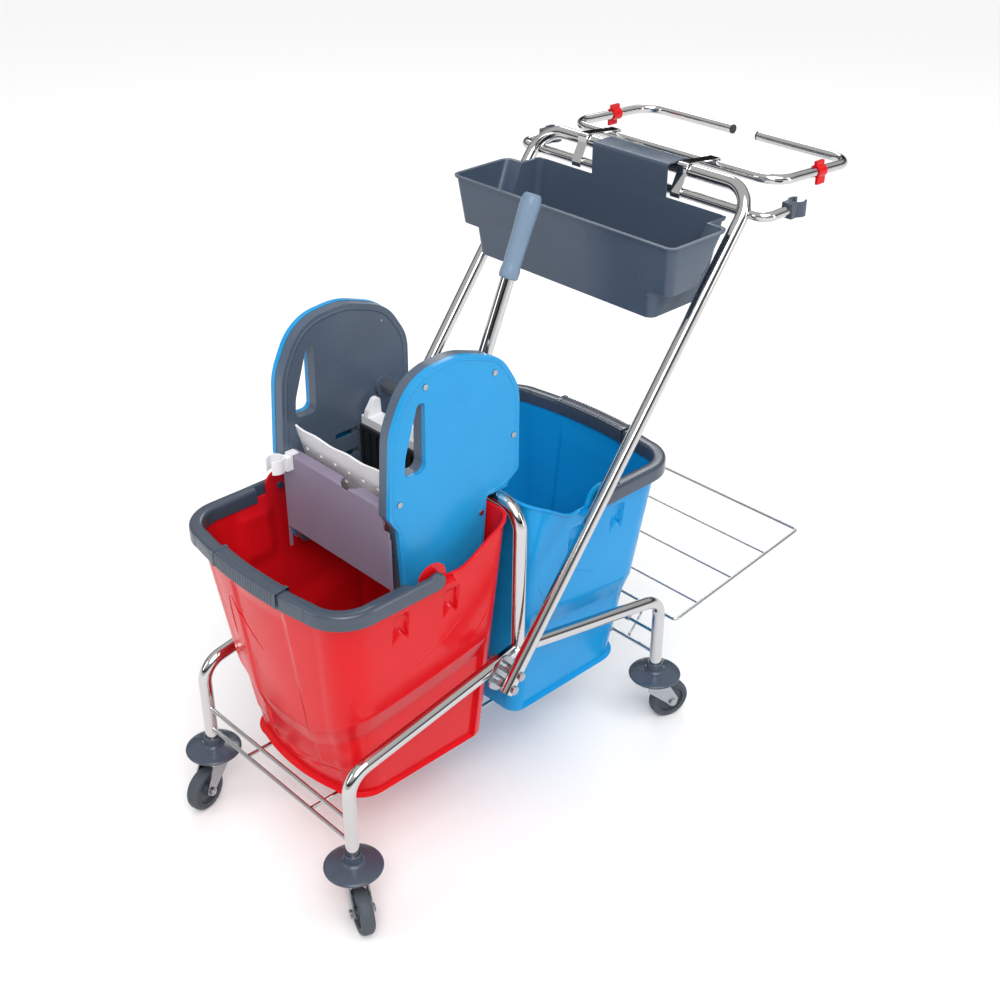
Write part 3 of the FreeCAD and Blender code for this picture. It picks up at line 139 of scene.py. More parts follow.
# The tubes and wires are joined by small welds, plated over: low, slightly lumpy fillets.
def closed_tube_faces(rounds, across):
    """Faces of a tube that closes on itself, such as a ring, from rounds of points."""
    faces = []
    for i in range(rounds):
        following = (i + 1) % rounds
        for k in range(across):
            beside = (k + 1) % across
            faces.append([i * across + k, following * across + k,
                          following * across + beside, i * across + beside])
    return faces


def smooth_piece(name, points, faces, material):
    """A smooth-shaded piece made from its points and faces."""
    data = bpy.data.meshes.new(name)
    data.from_pydata(points, [], faces)
    data.materials.append(material)
    for face in data.polygons:
        face.use_smooth = True
    piece = bpy.data.objects.new(name, data)
    bpy.context.scene.collection.objects.link(piece)
    return piece


def weld_ring(name, centre, axis, radius, bead):
    """A plated weld bead that circles a joint, a little lumpy from the torch."""
    around, across = 48, 8
    turn = Vector(axis).to_track_quat("Z", "Y").to_matrix()
    points = []
    for i in range(around):
        a = 2 * math.pi * i / around
        swell = 1 + 0.12 * math.sin(9 * a) + 0.07 * math.sin(17 * a + 1)
        for k in range(across):
            b = 2 * math.pi * k / across
            reach = radius + bead * swell * math.cos(b)
            local = Vector((reach * math.cos(a), reach * math.sin(a), bead * swell * math.sin(b)))
            points.append(Vector(centre) + turn @ local)
    piece = smooth_piece(name, points, closed_tube_faces(around, across), chrome_plate)
    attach(piece, "trolley")


leg_x, leg_y = 0.349, 0.190
arch_weld_z = 0.3475
wire_weld_inset = 0.0112
wire_heights = (("low", 0.1485), ("high", 0.192))
for side, sign in (("left", -1), ("right", 1)):
    weld_ring("arch_weld_" + side, (0.0, sign * leg_y, arch_weld_z), (0, 0, 1), 0.0105, 0.0016)
    for end, x in (("front", -leg_x), ("back", leg_x)):
        for level, z in wire_heights:
            spot = (x, sign * (leg_y - wire_weld_inset), z)
            weld_ring(f"wire_weld_{end}_{side}_{level}", spot, (0, 1, 0), 0.0036, 0.0011)

# ------------------------------------------------------------ wire grid and platform
# Round wires tie the legs together and carry the buckets; the folding platform behind is bent
# from thinner wire. All are plated, a little duller than the tubes.
bright_wire = plated_steel("plated steel wire", "#B9BABB", 0.12, 0.22, 30.0, 12.0)
for node in ("cross_wires", "base_rods", "platform"):
    dress(node, bright_wire)

# ------------------------------------------------------------ brackets, bolts and forks
# The brackets, bolts, screws and caster forks are pressed or turned steel with a bright zinc
# coat, which is greyer than the chrome and breaks light up with a fine satin grain.
zinc_plate = plated_steel("bright zinc plated steel", "#A9ADB2", 0.24, 0.40, 9.0, 4.0)
for node in ("caster_stems", "shell_screws", "handle_bolts"):
    softened(node, zinc_plate, 0.35)
softened("frame_brackets", zinc_plate, 0.5)
casters = ("front_left", "front_right", "back_left", "back_right")
for name in casters:
    softened("fork_" + name, zinc_plate, 0.6)
    softened("axle_" + name, zinc_plate, 0.35)


# ------------------------------------------------------------ casters and bumper discs
# Each leg stands on a swivel caster: a grey rubber tread on a grey moulded hub, under a wide
# grey bumper disc whose collar grips the leg.
def moulded(name, colour, shade, dull, glossy, grain_mm, grain_depth, mottle_mm=70.0, shine=0.35):
    """Injection moulded plastic: an even colour with faint flow mottling and a fine grain."""
    material = bpy.data.materials.new(name)
    material.use_nodes = True
    tree = material.node_tree
    tree.nodes.clear()
    place = add_node(tree, "ShaderNodeTexCoord")
    flow = add_node(tree, "ShaderNodeTexNoise", {
        "Scale": 1000 / mottle_mm, "Detail": 3.0, "Distortion": 0.4})
    grain = add_node(tree, "ShaderNodeTexNoise", {"Scale": 1000 / grain_mm, "Detail": 3.0})
    sink_mm = 45.0
    sink = add_node(tree, "ShaderNodeTexNoise", {"Scale": 1000 / sink_mm, "Detail": 0.0})
    tint = add_node(tree, "ShaderNodeMix", {"Factor": 0.5}, data_type="RGBA")
    tint.inputs[6].default_value = linear(colour)
    tint.inputs[7].default_value = linear(shade)
    gloss = add_node(tree, "ShaderNodeMapRange", {
        "From Min": 0.3, "From Max": 0.7, "To Min": glossy, "To Max": dull})
    fine = add_node(tree, "ShaderNodeBump", {"Strength": 0.25, "Distance": grain_depth / 1000})
    broad = add_node(tree, "ShaderNodeBump", {"Strength": 0.06, "Distance": 0.0015})
    body = add_node(tree, "ShaderNodeBsdfPrincipled", {"IOR": 1.49, "Specular IOR Level": shine})
    out = add_node(tree, "ShaderNodeOutputMaterial")
    for texture in (flow, grain, sink):
        tree.links.new(place.outputs["Object"], texture.inputs["Vector"])
    tree.links.new(flow.outputs["Fac"], tint.inputs["Factor"])
    tree.links.new(flow.outputs["Fac"], gloss.inputs["Value"])
    tree.links.new(sink.outputs["Fac"], broad.inputs["Height"])
    tree.links.new(grain.outputs["Fac"], fine.inputs["Height"])
    tree.links.new(broad.outputs["Normal"], fine.inputs["Normal"])
    tree.links.new(tint.outputs[2], body.inputs["Base Color"])
    tree.links.new(gloss.outputs["Result"], body.inputs["Roughness"])
    tree.links.new(fine.outputs["Normal"], body.inputs["Normal"])
    tree.links.new(body.outputs["BSDF"], out.inputs["Surface"])
    return material


# Polypropylene off a polished mould has a soft shine; the rubber tread and nylon hub are matt.
grey_polypropylene = moulded("grey polypropylene", "#434D5B", "#3D4654", 0.26, 0.14, 0.5, 0.012, 70.0, 0.5)
grey_rubber = moulded("grey rubber tread", "#4A5057", "#40464D", 0.75, 0.55, 0.8, 0.08)
dark_hub = moulded("dark grey nylon hub", "#474E57", "#3D434B", 0.50, 0.38, 0.5, 0.02)
softened("bumper_discs", grey_polypropylene, 1.2, 3, 20.0)
for name in casters:
    softened("tyre_" + name, grey_rubber, 1.5, 3, 20.0)
    softened("hub_" + name, dark_hub, 0.5)


# ------------------------------------------------------------ buckets
# Two identical moulded buckets stand end to end on the base rods, the blue one turned round.
# Each flares upwards, has a ledge for its bail, a high wavy rim at the end by the arch, two
# stacking pockets on each side and a step that runs across the lower wall.
bottom_z, rim_z = 0.1523, 0.540
pivot_x, pivot_z, bump_r = -0.168, 0.547, 0.026
foot_half, half_flare = 0.147, 0.0415
foot_outer, outer_flare = -0.301, 0.044
foot_inner, inner_flare = -0.026, 0.012
big_corner, small_corner, end_bow = 0.055, 0.026, 0.012
wall_top_z = 0.5195
lip_end_x = -0.127
pocket_places = (-0.225, -0.127)


def smooth(value):
    """0 below 0, 1 above 1, with an even S between."""
    value = min(max(value, 0.0), 1.0)
    return value * value * (3 - 2 * value)


def flare_share(z):
    """How far up its flare the bucket is at a height: 0 at the bottom, 1 at the rim."""
    return (z - bottom_z) / (rim_z - bottom_z)


def rim_height(x):
    """The rim's height along the bucket's side."""
    knots = [(-0.121, 0.539), (-0.097, 0.545), (-0.053, 0.573), (-0.017, 0.592), (0.010, 0.597)]
    height = rim_z
    if x > knots[0][0]:
        slopes = [0.02] + [(knots[i + 1][1] - knots[i - 1][1]) / (knots[i + 1][0] - knots[i - 1][0])
                           for i in range(1, 4)] + [0.1]
        for i in range(4):
            (x0, z0), (x1, z1) = knots[i], knots[i + 1]
            if x0 <= x <= x1:
                span = x1 - x0
                t = (x - x0) / span
                height = ((2 * t ** 3 - 3 * t ** 2 + 1) * z0 + (t ** 3 - 2 * t ** 2 + t) * span * slopes[i]
                          + (3 * t ** 2 - 2 * t ** 3) * z1 + (t ** 3 - t ** 2) * span * slopes[i + 1])
    away = abs(x - pivot_x)
    if away < bump_r:
        height = max(height, pivot_z + math.sqrt(bump_r ** 2 - away ** 2))
    return height


def plan_point(column, columns, z, grow):
    """A point of the bucket's plan outline and its outward direction; columns are shared out by run."""
    share = flare_share(z)
    half = foot_half + half_flare * share + grow
    outer = foot_outer - outer_flare * share - grow
    inner = foot_inner + inner_flare * share + grow
    big = big_corner + grow
    small = small_corner + grow
    run, step, count = columns[column]
    t = step / count
    if run == "inner":
        return Vector((inner, (-half + small) * (1 - t) + (half - small) * t)), Vector((1, 0))
    side = 1 if run.endswith("right") else -1
    if run.startswith("small"):
        angle = math.pi / 2 * (t if side > 0 else 1 - t)
        out = Vector((math.cos(angle), side * math.sin(angle)))
        return Vector((inner - small, side * (half - small))) + out * small, out
    if run.startswith("side"):
        t = t if side > 0 else 1 - t
        return Vector(((inner - small) * (1 - t) + (outer + big) * t, side * half)), Vector((0, side))
    half_span = half - big
    bow_r = (half_span ** 2 + end_bow ** 2) / (2 * end_bow)
    bow_centre = outer - end_bow + bow_r
    edge = math.asin(half_span / bow_r)
    if run.startswith("big"):
        angle = math.pi / 2 * (t if side > 0 else 1 - t)
        out = Vector((-math.sin(angle), side * math.cos(angle)))
        return Vector((outer + big, side * (half - big))) + out * big, out
    angle = edge * (1 - 2 * t)
    out = Vector((-math.cos(angle), math.sin(angle)))
    return Vector((bow_centre, 0)) + out * bow_r, out


def ramp(value):
    """0 below 0, 1 above 1, straight between."""
    return min(max(value, 0.0), 1.0)


def ridge_height(x):
    """The height of the ridge on the bucket's side, over which the lower wall stands back."""
    from_arch = -0.036 - x
    return 0.3705 - 0.215 * from_arch + 0.25 * from_arch ** 2


def pocket_depth(x, z):
    """How deep the side's two stacking pockets are; each has a notched lower edge."""
    depth = 0.0
    pocket_low, pocket_high, pocket_width = 0.456, 0.507, 0.030
    deepest, side_slope, end_slope = 0.0070, 0.0022, 0.0036
    for pocket_x in pocket_places:
        from_middle = abs(x - pocket_x)
        low_edge = pocket_low + 1.3 * max(pocket_width / 2 - from_middle, 0.0)
        depth += (deepest * ramp((pocket_width / 2 - from_middle) / side_slope)
                  * ramp((z - low_edge) / end_slope) * ramp((pocket_high - z) / end_slope))
    return depth


def pocket_swelling(x, z):
    """The soft swelling that the pockets make on the wall's inner face."""
    depth = 0.0
    highest = 0.0056
    for pocket_x in pocket_places:
        depth += (highest * smooth((0.042 - abs(x - pocket_x)) / 0.025)
                  * smooth((z - 0.420) / 0.032) * smooth((0.5260 - z) / 0.016))
    return depth


def bucket_relief(x, y, z, run, pockets=pocket_depth):
    """How far the wall stands back from its plain flare, in metres."""
    if run.startswith(("small", "inner")):
        return 0.0
    on_side = run.startswith("side")
    step_depth, panel_depth, foot_depth = 0.0075, 0.0034, 0.0030
    panel_half, panel_low, panel_top = 0.0665, 0.186, 0.520
    ridge = ridge_height(x)
    if not on_side:
        ridge -= 0.55 * min(max(0.166 - abs(y), 0.0), 0.100)
    arch_end = ramp((-0.032 - x) / 0.010)
    back = step_depth * ramp((ridge - z) / 0.034) * arch_end
    if run == "outer":
        back += (panel_depth * ramp((panel_half - abs(y)) / 0.005)
                 * ramp((panel_top - z) / 0.030) * ramp((z - panel_low) / 0.010))
    if on_side:
        back += pockets(x, z)
    else:
        back += foot_depth * ramp((0.185 + 0.22 * abs(y) - z) / 0.005) * ramp((0.160 - abs(y)) / 0.030)
    return back


def closed_skin(points, around):
    """Faces that join equal rings of points one after another, with a cap at each end."""
    rings = len(points) // around
    faces = []
    for row in range(rings - 1):
        for index in range(around):
            following = (index + 1) % around
            faces.append([row * around + index, row * around + following,
                          (row + 1) * around + following, (row + 1) * around + index])
    faces.append(list(reversed(range(around))))
    faces.append([(rings - 1) * around + index for index in range(around)])
    return faces


def skin_object(name, points, around, material, sharp_angle):
    """A smooth-shaded object from rings of points."""
    data = bpy.data.meshes.new(name)
    data.from_pydata(points, [], closed_skin(points, around))
    grid = bmesh.new()
    grid.from_mesh(data)
    bmesh.ops.recalc_face_normals(grid, faces=grid.faces)
    grid.to_mesh(data)
    grid.free()
    data.materials.append(material)
    for face in data.polygons:
        face.use_smooth = True
    data.set_sharp_from_angle(angle=math.radians(sharp_angle))
    piece = bpy.data.objects.new(name, data)
    bpy.context.scene.collection.objects.link(piece)
    return piece


def make_bucket(name, material):
    """The whole bucket as one closed skin, built for the red one's place."""
    runs = [("inner", 24), ("small_right", 8), ("side_right", 120), ("big_right", 14), ("outer", 64),
            ("big_left", 14), ("side_left", 120), ("small_left", 8)]
    columns = [(run, step, count) for run, count in runs for step in range(count)]
    total = len(columns)
    wall = 0.003
    foot = 0.009
    points = []

    def on_lip(x):
        """1 along the flat rolled lip, 0 by the arch, where the rim rises."""
        return smooth((lip_end_x - x) / 0.006)

    def ring(z_at, grow_at, relief, pockets=pocket_depth):
        """One round of points, at a height and a growth that may change along the bucket."""
        for index, (run, _step, _count) in enumerate(columns):
            at_rim, _out = plan_point(index, columns, rim_z, 0.0)
            z = z_at(at_rim.x)
            spot, out = plan_point(index, columns, z, grow_at(at_rim.x))
            spot = spot - out * bucket_relief(spot.x, spot.y, z, run, pockets) * relief
            points.append((spot.x, spot.y, z))

    for angle in (0, 22, 45, 67):
        turn = math.radians(angle)
        ring(lambda x: bottom_z + foot * (1 - math.cos(turn)), lambda x: -foot * (1 - math.sin(turn)), 0.0)
    wall_rows = 102
    for row in range(wall_rows + 1):
        z = bottom_z + foot + (wall_top_z - bottom_z - foot) * row / wall_rows
        ring(lambda x: z, lambda x: 0.0, 1.0)
    for z, grow in ((0.5240, 0.0), (0.5286, 0.0004), (0.5290, 0.0124), (0.5296, 0.0130), (0.5324, 0.0130),
                    (0.5330, 0.0124), (0.5334, 0.0004)):
        ring(lambda x: z, lambda x: grow * on_lip(x), 0.0)
    for drop, grow in ((-0.0052, 0.0), (-0.0046, 0.0026), (-0.0040, 0.0031), (-0.0010, 0.0031),
                       (-0.0003, 0.0026)):
        ring(lambda x: rim_height(x) + drop, lambda x: grow * (1 - on_lip(x)), 0.0)
    for drop, grow in ((0.0, 0.0020), (0.0, -0.0010), (-0.0003, -0.0026), (-0.0010, -0.0030)):
        ring(lambda x: rim_height(x) + drop,
             lambda x: grow if grow < 0 else grow * (1 - on_lip(x)), 0.0)
    low_inside = bottom_z + wall + 0.006
    for row in range(wall_rows + 1):
        z = wall_top_z + (low_inside - wall_top_z) * row / wall_rows
        ring(lambda x: z, lambda x: -wall, 1.0, pocket_swelling)
    for grow, lift in ((-wall - 0.0018, 0.0018), (-wall - 0.006, 0.0)):
        ring(lambda x: bottom_z + wall + lift, lambda x: grow, 0.0)
    return skin_object(name, points, total, material, 50)


def wall_bead(name, path, bead_radius, material):
    """A thin raised line on the bucket wall, tapering at both ends."""
    points = []
    around = 10
    for index, spot in enumerate(path):
        ahead = path[min(index + 1, len(path) - 1)] - path[max(index - 1, 0)]
        turn = ahead.to_track_quat("Z", "Y").to_matrix()
        share = index / (len(path) - 1)
        reach = bead_radius * math.sin(math.pi * min(max(share, 0.03), 0.97)) ** 0.4
        for step in range(around):
            a = 2 * math.pi * step / around
            points.append(tuple(spot + turn @ Vector((reach * math.cos(a), reach * math.sin(a), 0.0))))
    return skin_object(name, points, around, material, 60)


def bead_path(start, middle, end, on_wall):
    """Points along a smooth arc through three places of the wall's flat drawing."""
    path = []
    for step in range(33):
        t = step / 32
        bend = [middle[i] * 2 - (start[i] + end[i]) / 2 for i in (0, 1)]
        flat = [start[i] * (1 - t) ** 2 + bend[i] * 2 * t * (1 - t) + end[i] * t ** 2 for i in (0, 1)]
        path.append(on_wall(*flat))
    return path


def side_wall(x, z, side):
    """The place on a long side's outer face at that x and height."""
    plain = foot_half + half_flare * flare_share(z)
    half = plain - bucket_relief(x, side * plain, z, "side_right")
    return Vector((x, side * half, z))


def end_wall(y, z):
    """The place on the bowed open end's outer face at that y and height."""
    share = flare_share(z)
    half_span = foot_half + half_flare * share - big_corner
    bow_r = (half_span ** 2 + end_bow ** 2) / (2 * end_bow)
    x = foot_outer - outer_flare * share - end_bow + bow_r - math.sqrt(bow_r ** 2 - y ** 2)
    return Vector((x + bucket_relief(x, y, z, "outer"), y, z))


def settle(piece, colour):
    """Puts a piece built for the red bucket's place where its colour stands."""
    if colour == "blue":
        piece.data.transform(Matrix.Translation((0.008, 0, 0)) @ Matrix.Rotation(math.pi, 4, "Z"))
    else:
        piece.data.transform(Matrix.Translation((0, 0.006, 0)))


# Bucket polypropylene is strongly coloured through, with a soft even shine and broad mottling.
bead_radius, ridge_bead_radius = 0.0011, 0.0009
ridge_start_x, ridge_length, ridge_steps = -0.046, 0.222, 60
red_polypropylene = moulded("red polypropylene", "#D6141D", "#C90F18", 0.26, 0.15, 0.6, 0.012, 90.0, 0.22)
blue_polypropylene = moulded("blue polypropylene", "#1294D4", "#0E8BCA", 0.28, 0.16, 0.6, 0.012, 90.0, 0.22)
for colour, material in (("red", red_polypropylene), ("blue", blue_polypropylene)):
    bucket = make_bucket(colour + "_bucket_skin", material)
    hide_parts(colour + "_bucket")
    pieces = [bucket]
    for side, sign in (("left", -1), ("right", 1)):
        for name, start, middle, end in (
                ("short", (-0.046, 0.430), (-0.062, 0.402), (-0.087, 0.364)),
                ("long", (-0.092, 0.453), (-0.124, 0.424), (-0.191, 0.386))):
            path = bead_path(start, middle, end, lambda x, z: side_wall(x, z, sign))
            pieces.append(wall_bead(f"{colour}_bucket_{name}_bead_{side}", path, bead_radius, material))
        ridge = []
        for step in range(ridge_steps + 1):
            x = ridge_start_x - ridge_length * step / ridge_steps
            ridge.append(side_wall(x, ridge_height(x), sign))
        pieces.append(wall_bead(f"{colour}_bucket_ridge_bead_{side}", ridge, ridge_bead_radius, material))
    for name, start, middle, end in (
            ("inner", (0.080, 0.466), (0.056, 0.427), (0.015, 0.394)),
            ("outer", (0.089, 0.462), (0.094, 0.420), (0.092, 0.380))):
        path = bead_path(start, middle, end, end_wall)
        pieces.append(wall_bead(f"{colour}_bucket_end_bead_{name}", path, bead_radius, material))
    for piece in pieces:
        settle(piece, colour)
        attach(piece, colour + "_bucket_body")


# ------------------------------------------------------------ bucket bails
# Each bail is a grey moulded channel that follows the bucket's open end and lies on its ledge.
# A ribbed hand grip with a collar at each end is moulded over its middle.
bail_low, bail_high = 0.5333, 0.5573
bail_inner, bail_outer = -0.0068, 0.0155
ear_radius = 0.0137


def bail_sweep(name, stations, profile_at):
    """A closed skin swept along the bail's path."""
    points = []
    for spot, out in stations:
        for grow, z in profile_at(spot):
            place = spot + out * grow
            points.append((place.x, place.y, z))
    return skin_object(name, points, len(points) // len(stations), grey_polypropylene, 48)


def bail_stations():
    """Points round the bucket's open end, from one pivot to the other."""
    runs = [("side_right", 130), ("big_right", 16), ("outer", 90), ("big_left", 16), ("side_left", 130)]
    columns = [(run, step, count) for run, count in runs for step in range(count)]
    stations = []
    ear_end = pivot_x + ear_radius
    for index in range(len(columns)):
        spot, out = plan_point(index, columns, rim_z, 0.0)
        if spot.x <= ear_end - 0.0002:
            stations.append((spot, out))
    return stations


def channel_profile(inner, outer, low, high, wall, corner):
    """An upside-down channel with rounded outer corners, as (outward, height) pairs."""
    points = [(inner, low)]
    for centre, start in ((inner + corner, math.pi), (outer - corner, math.pi / 2)):
        for step in range(5):
            angle = start - math.pi / 2 * step / 4
            points.append((centre + corner * math.cos(angle), high - corner + corner * math.sin(angle)))
    points += [(outer, low), (outer - wall, low), (outer - wall, high - wall), (inner + wall, high - wall),
               (inner + wall, low)]
    return points


def bail_profile(spot):
    """The bail's section at a place: a wide channel, thicker walled along the bucket's sides."""
    low, high = bail_low, bail_high
    side_start_x = -0.2145
    if spot.x > side_start_x:
        profile = channel_profile(0.0042, bail_outer, low, high, 0.0055, 0.0050)
    else:
        profile = channel_profile(bail_inner, bail_outer, low, high, 0.0027, 0.0055)
    ahead = spot.x - pivot_x
    if ahead > -ear_radius:
        half = math.sqrt(max(ear_radius ** 2 - max(ahead, 0.0) ** 2, 1e-8))
        swell = smooth((ahead + ear_radius) / ear_radius)
        ear_low = low * (1 - swell) + (pivot_z - half) * swell
        ear_high = high * (1 - swell) + (pivot_z + half) * swell
        profile = [(grow, ear_low + (z - low) / (high - low) * (ear_high - ear_low)) for grow, z in profile]
    return profile


def grip_profile(spot):
    """The grip's section: a sleeve round the channel, ribbed between two raised collars."""
    rib_pitch, rib_rise, collar_rise, collar_start_y = 0.0062, 0.0004, 0.0014, 0.0715
    rib = rib_rise if math.sin(2 * math.pi * spot.y / rib_pitch) > 0 else -rib_rise
    rise = collar_rise if abs(spot.y) > collar_start_y else rib
    return channel_profile(bail_inner - 0.0016 - rise, bail_outer + 0.0018 + rise,
                           bail_low + 0.0020, bail_high + 0.0016 + rise * 0.7, 0.0006, 0.0075)


grip_half, grip_stations = 0.080, 480
pin_radius, pin_half_length, pin_y, pin_sides = 0.005, 0.006, 0.1885, 24
for colour in ("red", "blue"):
    bail = bail_sweep(colour + "_bail_channel", bail_stations(), bail_profile)
    columns = [("outer", step, grip_stations) for step in range(grip_stations)]
    middle = []
    for index in range(grip_stations):
        spot, out = plan_point(index, columns, rim_z, 0.0)
        if abs(spot.y) < grip_half:
            middle.append((spot, out))
    grip = bail_sweep(colour + "_bail_sleeve", middle, grip_profile)
    pins = []
    for side, sign in (("left", -1), ("right", 1)):
        points = []
        faces = []
        for y in (pin_y - pin_half_length, pin_y + pin_half_length):
            for step in range(pin_sides):
                a = 2 * math.pi * step / pin_sides
                points.append((pivot_x + pin_radius * math.cos(a), sign * y,
                               pivot_z + pin_radius * math.sin(a)))
        for step in range(pin_sides):
            beside = (step + 1) % pin_sides
            faces.append([step, beside, pin_sides + beside, pin_sides + step])
        faces.append(list(range(pin_sides)))
        faces.append(list(range(pin_sides, 2 * pin_sides)))
        data = bpy.data.meshes.new(f"{colour}_bail_pin_{side}")
        data.from_pydata(points, [], faces)
        data.materials.append(grey_polypropylene)
        pin = bpy.data.objects.new(data.name, data)
        bpy.context.scene.collection.objects.link(pin)
        rounding = pin.modifiers.new("edge rounding", "BEVEL")
        rounding.width = 0.0008
        rounding.segments = 2
        pins.append(pin)
    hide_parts(colour + "_bail")
    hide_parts(colour + "_bail_grip")
    for piece in [bail, grip] + pins:
        settle(piece, colour)
        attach(piece, colour + "_bail_body")

# ------------------------------------------------------------ wringer side plates
# The wringer hangs on the arch between two hollow side plates. Each plate is a blue outer half
# and a grey inner half, screwed together, with a hand slot through both.
# The blue halves shine a little more than the grey ones, which are lightly textured.
wringer_blue = moulded("blue wringer plastic", "#2595D0", "#208DC8", 0.28, 0.17, 0.5, 0.012, 60.0, 0.25)
wringer_grey = moulded("grey wringer plastic", "#525F70", "#4B5868", 0.36, 0.24, 0.5, 0.015)
for side in ("left", "right"):
    softened("wringer_shell_" + side, wringer_blue, 1.6, 3, 40.0)
    softened("wringer_inner_" + side, wringer_grey, 1.2, 3, 40.0)


def face_outline(node, face_y):
    """The outer edge of a CAD node's flat face at that y, as ordered points."""
    data = frame["nodes"][node].data
    uses = {}
    for polygon in data.polygons:
        corners = [data.vertices[index].co for index in polygon.vertices]
        if all(abs(corner.y - face_y) < 0.00002 for corner in corners):
            keys = [(round(corner.x, 5), round(corner.z, 5)) for corner in corners]
            for first, second in zip(keys, keys[1:] + keys[:1]):
                uses.setdefault(tuple(sorted((first, second))), []).append((first, second))
    following = {pair[0][0]: pair[0][1] for pair in uses.values() if len(pair) == 1}
    start = min(following)
    loop = [start]
    while following[loop[-1]] != start:
        loop.append(following[loop[-1]])
    return loop


def even_loop(loop, spacing):
    """The closed outline again, with its points the same distance apart."""
    lengths = [math.dist(loop[i], loop[(i + 1) % len(loop)]) for i in range(len(loop))]
    count = round(sum(lengths) / spacing)
    points = []
    for step in range(count):
        wanted = sum(lengths) * step / count
        index = 0
        while wanted > lengths[index]:
            wanted -= lengths[index]
            index += 1
        share = wanted / lengths[index]
        (x0, z0), (x1, z1) = loop[index], loop[(index + 1) % len(loop)]
        points.append((x0 + (x1 - x0) * share, z0 + (z1 - z0) * share))
    return points


def border_bead(name, node, face_y, inset, half_width, rise, material):
    """The raised bead moulded round a plate, a little way in from its edge."""
    loop = even_loop(face_outline(node, face_y), 0.003)
    count = len(loop)
    turning = sum(loop[i][0] * loop[(i + 1) % count][1] - loop[(i + 1) % count][0] * loop[i][1]
                  for i in range(count))
    middle = []
    for index, (x, z) in enumerate(loop):
        (x0, z0), (x1, z1) = loop[index - 3], loop[(index + 3) % count]
        run = math.hypot(x1 - x0, z1 - z0)
        inward = (-(z1 - z0) / run, (x1 - x0) / run) if turning > 0 else ((z1 - z0) / run, -(x1 - x0) / run)
        middle.append((x + inward[0] * inset, z + inward[1] * inset))
    for _smoothing in range(12):
        middle = [((middle[i - 1][0] + middle[i][0] + middle[(i + 1) % count][0]) / 3,
                   (middle[i - 1][1] + middle[i][1] + middle[(i + 1) % count][1]) / 3) for i in range(count)]
    around = 10
    points = []
    for index, (x, z) in enumerate(middle):
        (x0, z0), (x1, z1) = middle[index - 1], middle[(index + 1) % count]
        run = math.hypot(x1 - x0, z1 - z0)
        across = ((z1 - z0) / run, -(x1 - x0) / run)
        for step in range(around):
            a = 2 * math.pi * step / around
            points.append((x + across[0] * half_width * math.cos(a), face_y + rise * math.sin(a),
                           z + across[1] * half_width * math.cos(a)))
    piece = smooth_piece(name, points, closed_tube_faces(count, around), material)
    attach(piece, "wringer")
    return piece


shell_face_y, inner_face_y = 0.141, 0.115
for side, sign in (("left", -1), ("right", 1)):
    shell_bead = border_bead("shell_bead_" + side, "wringer_shell_" + side, sign * shell_face_y,
                             0.0062, 0.0020, 0.0009, wringer_blue)
    inner_bead = border_bead("inner_bead_" + side, "wringer_inner_" + side, sign * inner_face_y,
                             0.0080, 0.0026, 0.0010, wringer_grey)

# ------------------------------------------------------------ jaws and panels
# A warm grey panel closes the wringer's front. Behind it a white slanted jaw and a ribbed black
# press plate on a white carrier squeeze the mop head over a drained floor.
# Acetal is a dense waxy white; the panel and press plate are duller, with a fine mould grain.
warm_grey = moulded("warm grey polypropylene", "#8A8094", "#80768A", 0.40, 0.28, 0.5, 0.02)
white_acetal = moulded("white acetal", "#EDEDF0", "#E4E4E8", 0.38, 0.26, 0.6, 0.012)
black_polypropylene = moulded("black polypropylene", "#24262A", "#1D1F22", 0.42, 0.30, 0.5, 0.02)
softened("front_panel", warm_grey, 0.7)
softened("drain_floor", warm_grey, 0.5)
softened("front_jaw", white_acetal, 0.7)
softened("press_carrier", white_acetal, 0.8)
softened("press_face", black_polypropylene, 0.6)
softened("rest_clip", white_acetal, 0.7)

# ------------------------------------------------------------ shaft, gears and lever
# The lever turns an eight-sided shaft; a pinion on each end drives a rack hidden in each side
# plate. The steel lever ends in a long blue-grey hand grip.
# Glass filling leaves the nylon matt and slightly rough; the grip is smoother.
filled_nylon = moulded("dark glass-filled nylon", "#52575C", "#484D52", 0.50, 0.36, 0.4, 0.02)
blue_grey = moulded("blue-grey grip plastic", "#74899F", "#6C8096", 0.46, 0.32, 0.6, 0.03)
softened("wringer_shaft", filled_nylon, 0.5, 2, 30.0)
softened("pinions", filled_nylon, 0.15, 1)
softened("lever_hub", filled_nylon, 0.8)
softened("rack_carriages", filled_nylon, 0.15, 1)
softened("lever_grip", blue_grey, 1.2, 3, 18.0)

# ------------------------------------------------------------ utility tray
# A grey moulded tray hooks over the push handle: a deep middle, two shallow wings and a tall
# back panel that bends over the tube.
tray_grey = moulded("grey tray polypropylene", "#495769", "#435061", 0.28, 0.16, 0.5, 0.012, 70.0, 0.32)
softened("utility_tray", tray_grey, 1.0, 3)

# ------------------------------------------------------------ clips and plugs
# Black plugs close the bag loop's two ends, red clips hold a bag's rim, and grey spring clips
# at the crossbar's ends hold two mop handles.
softened("loop_end_plugs", black_polypropylene, 0.6)
softened("bag_clips", red_polypropylene, 0.5)
softened("mop_clips", grey_polypropylene, 0.7)

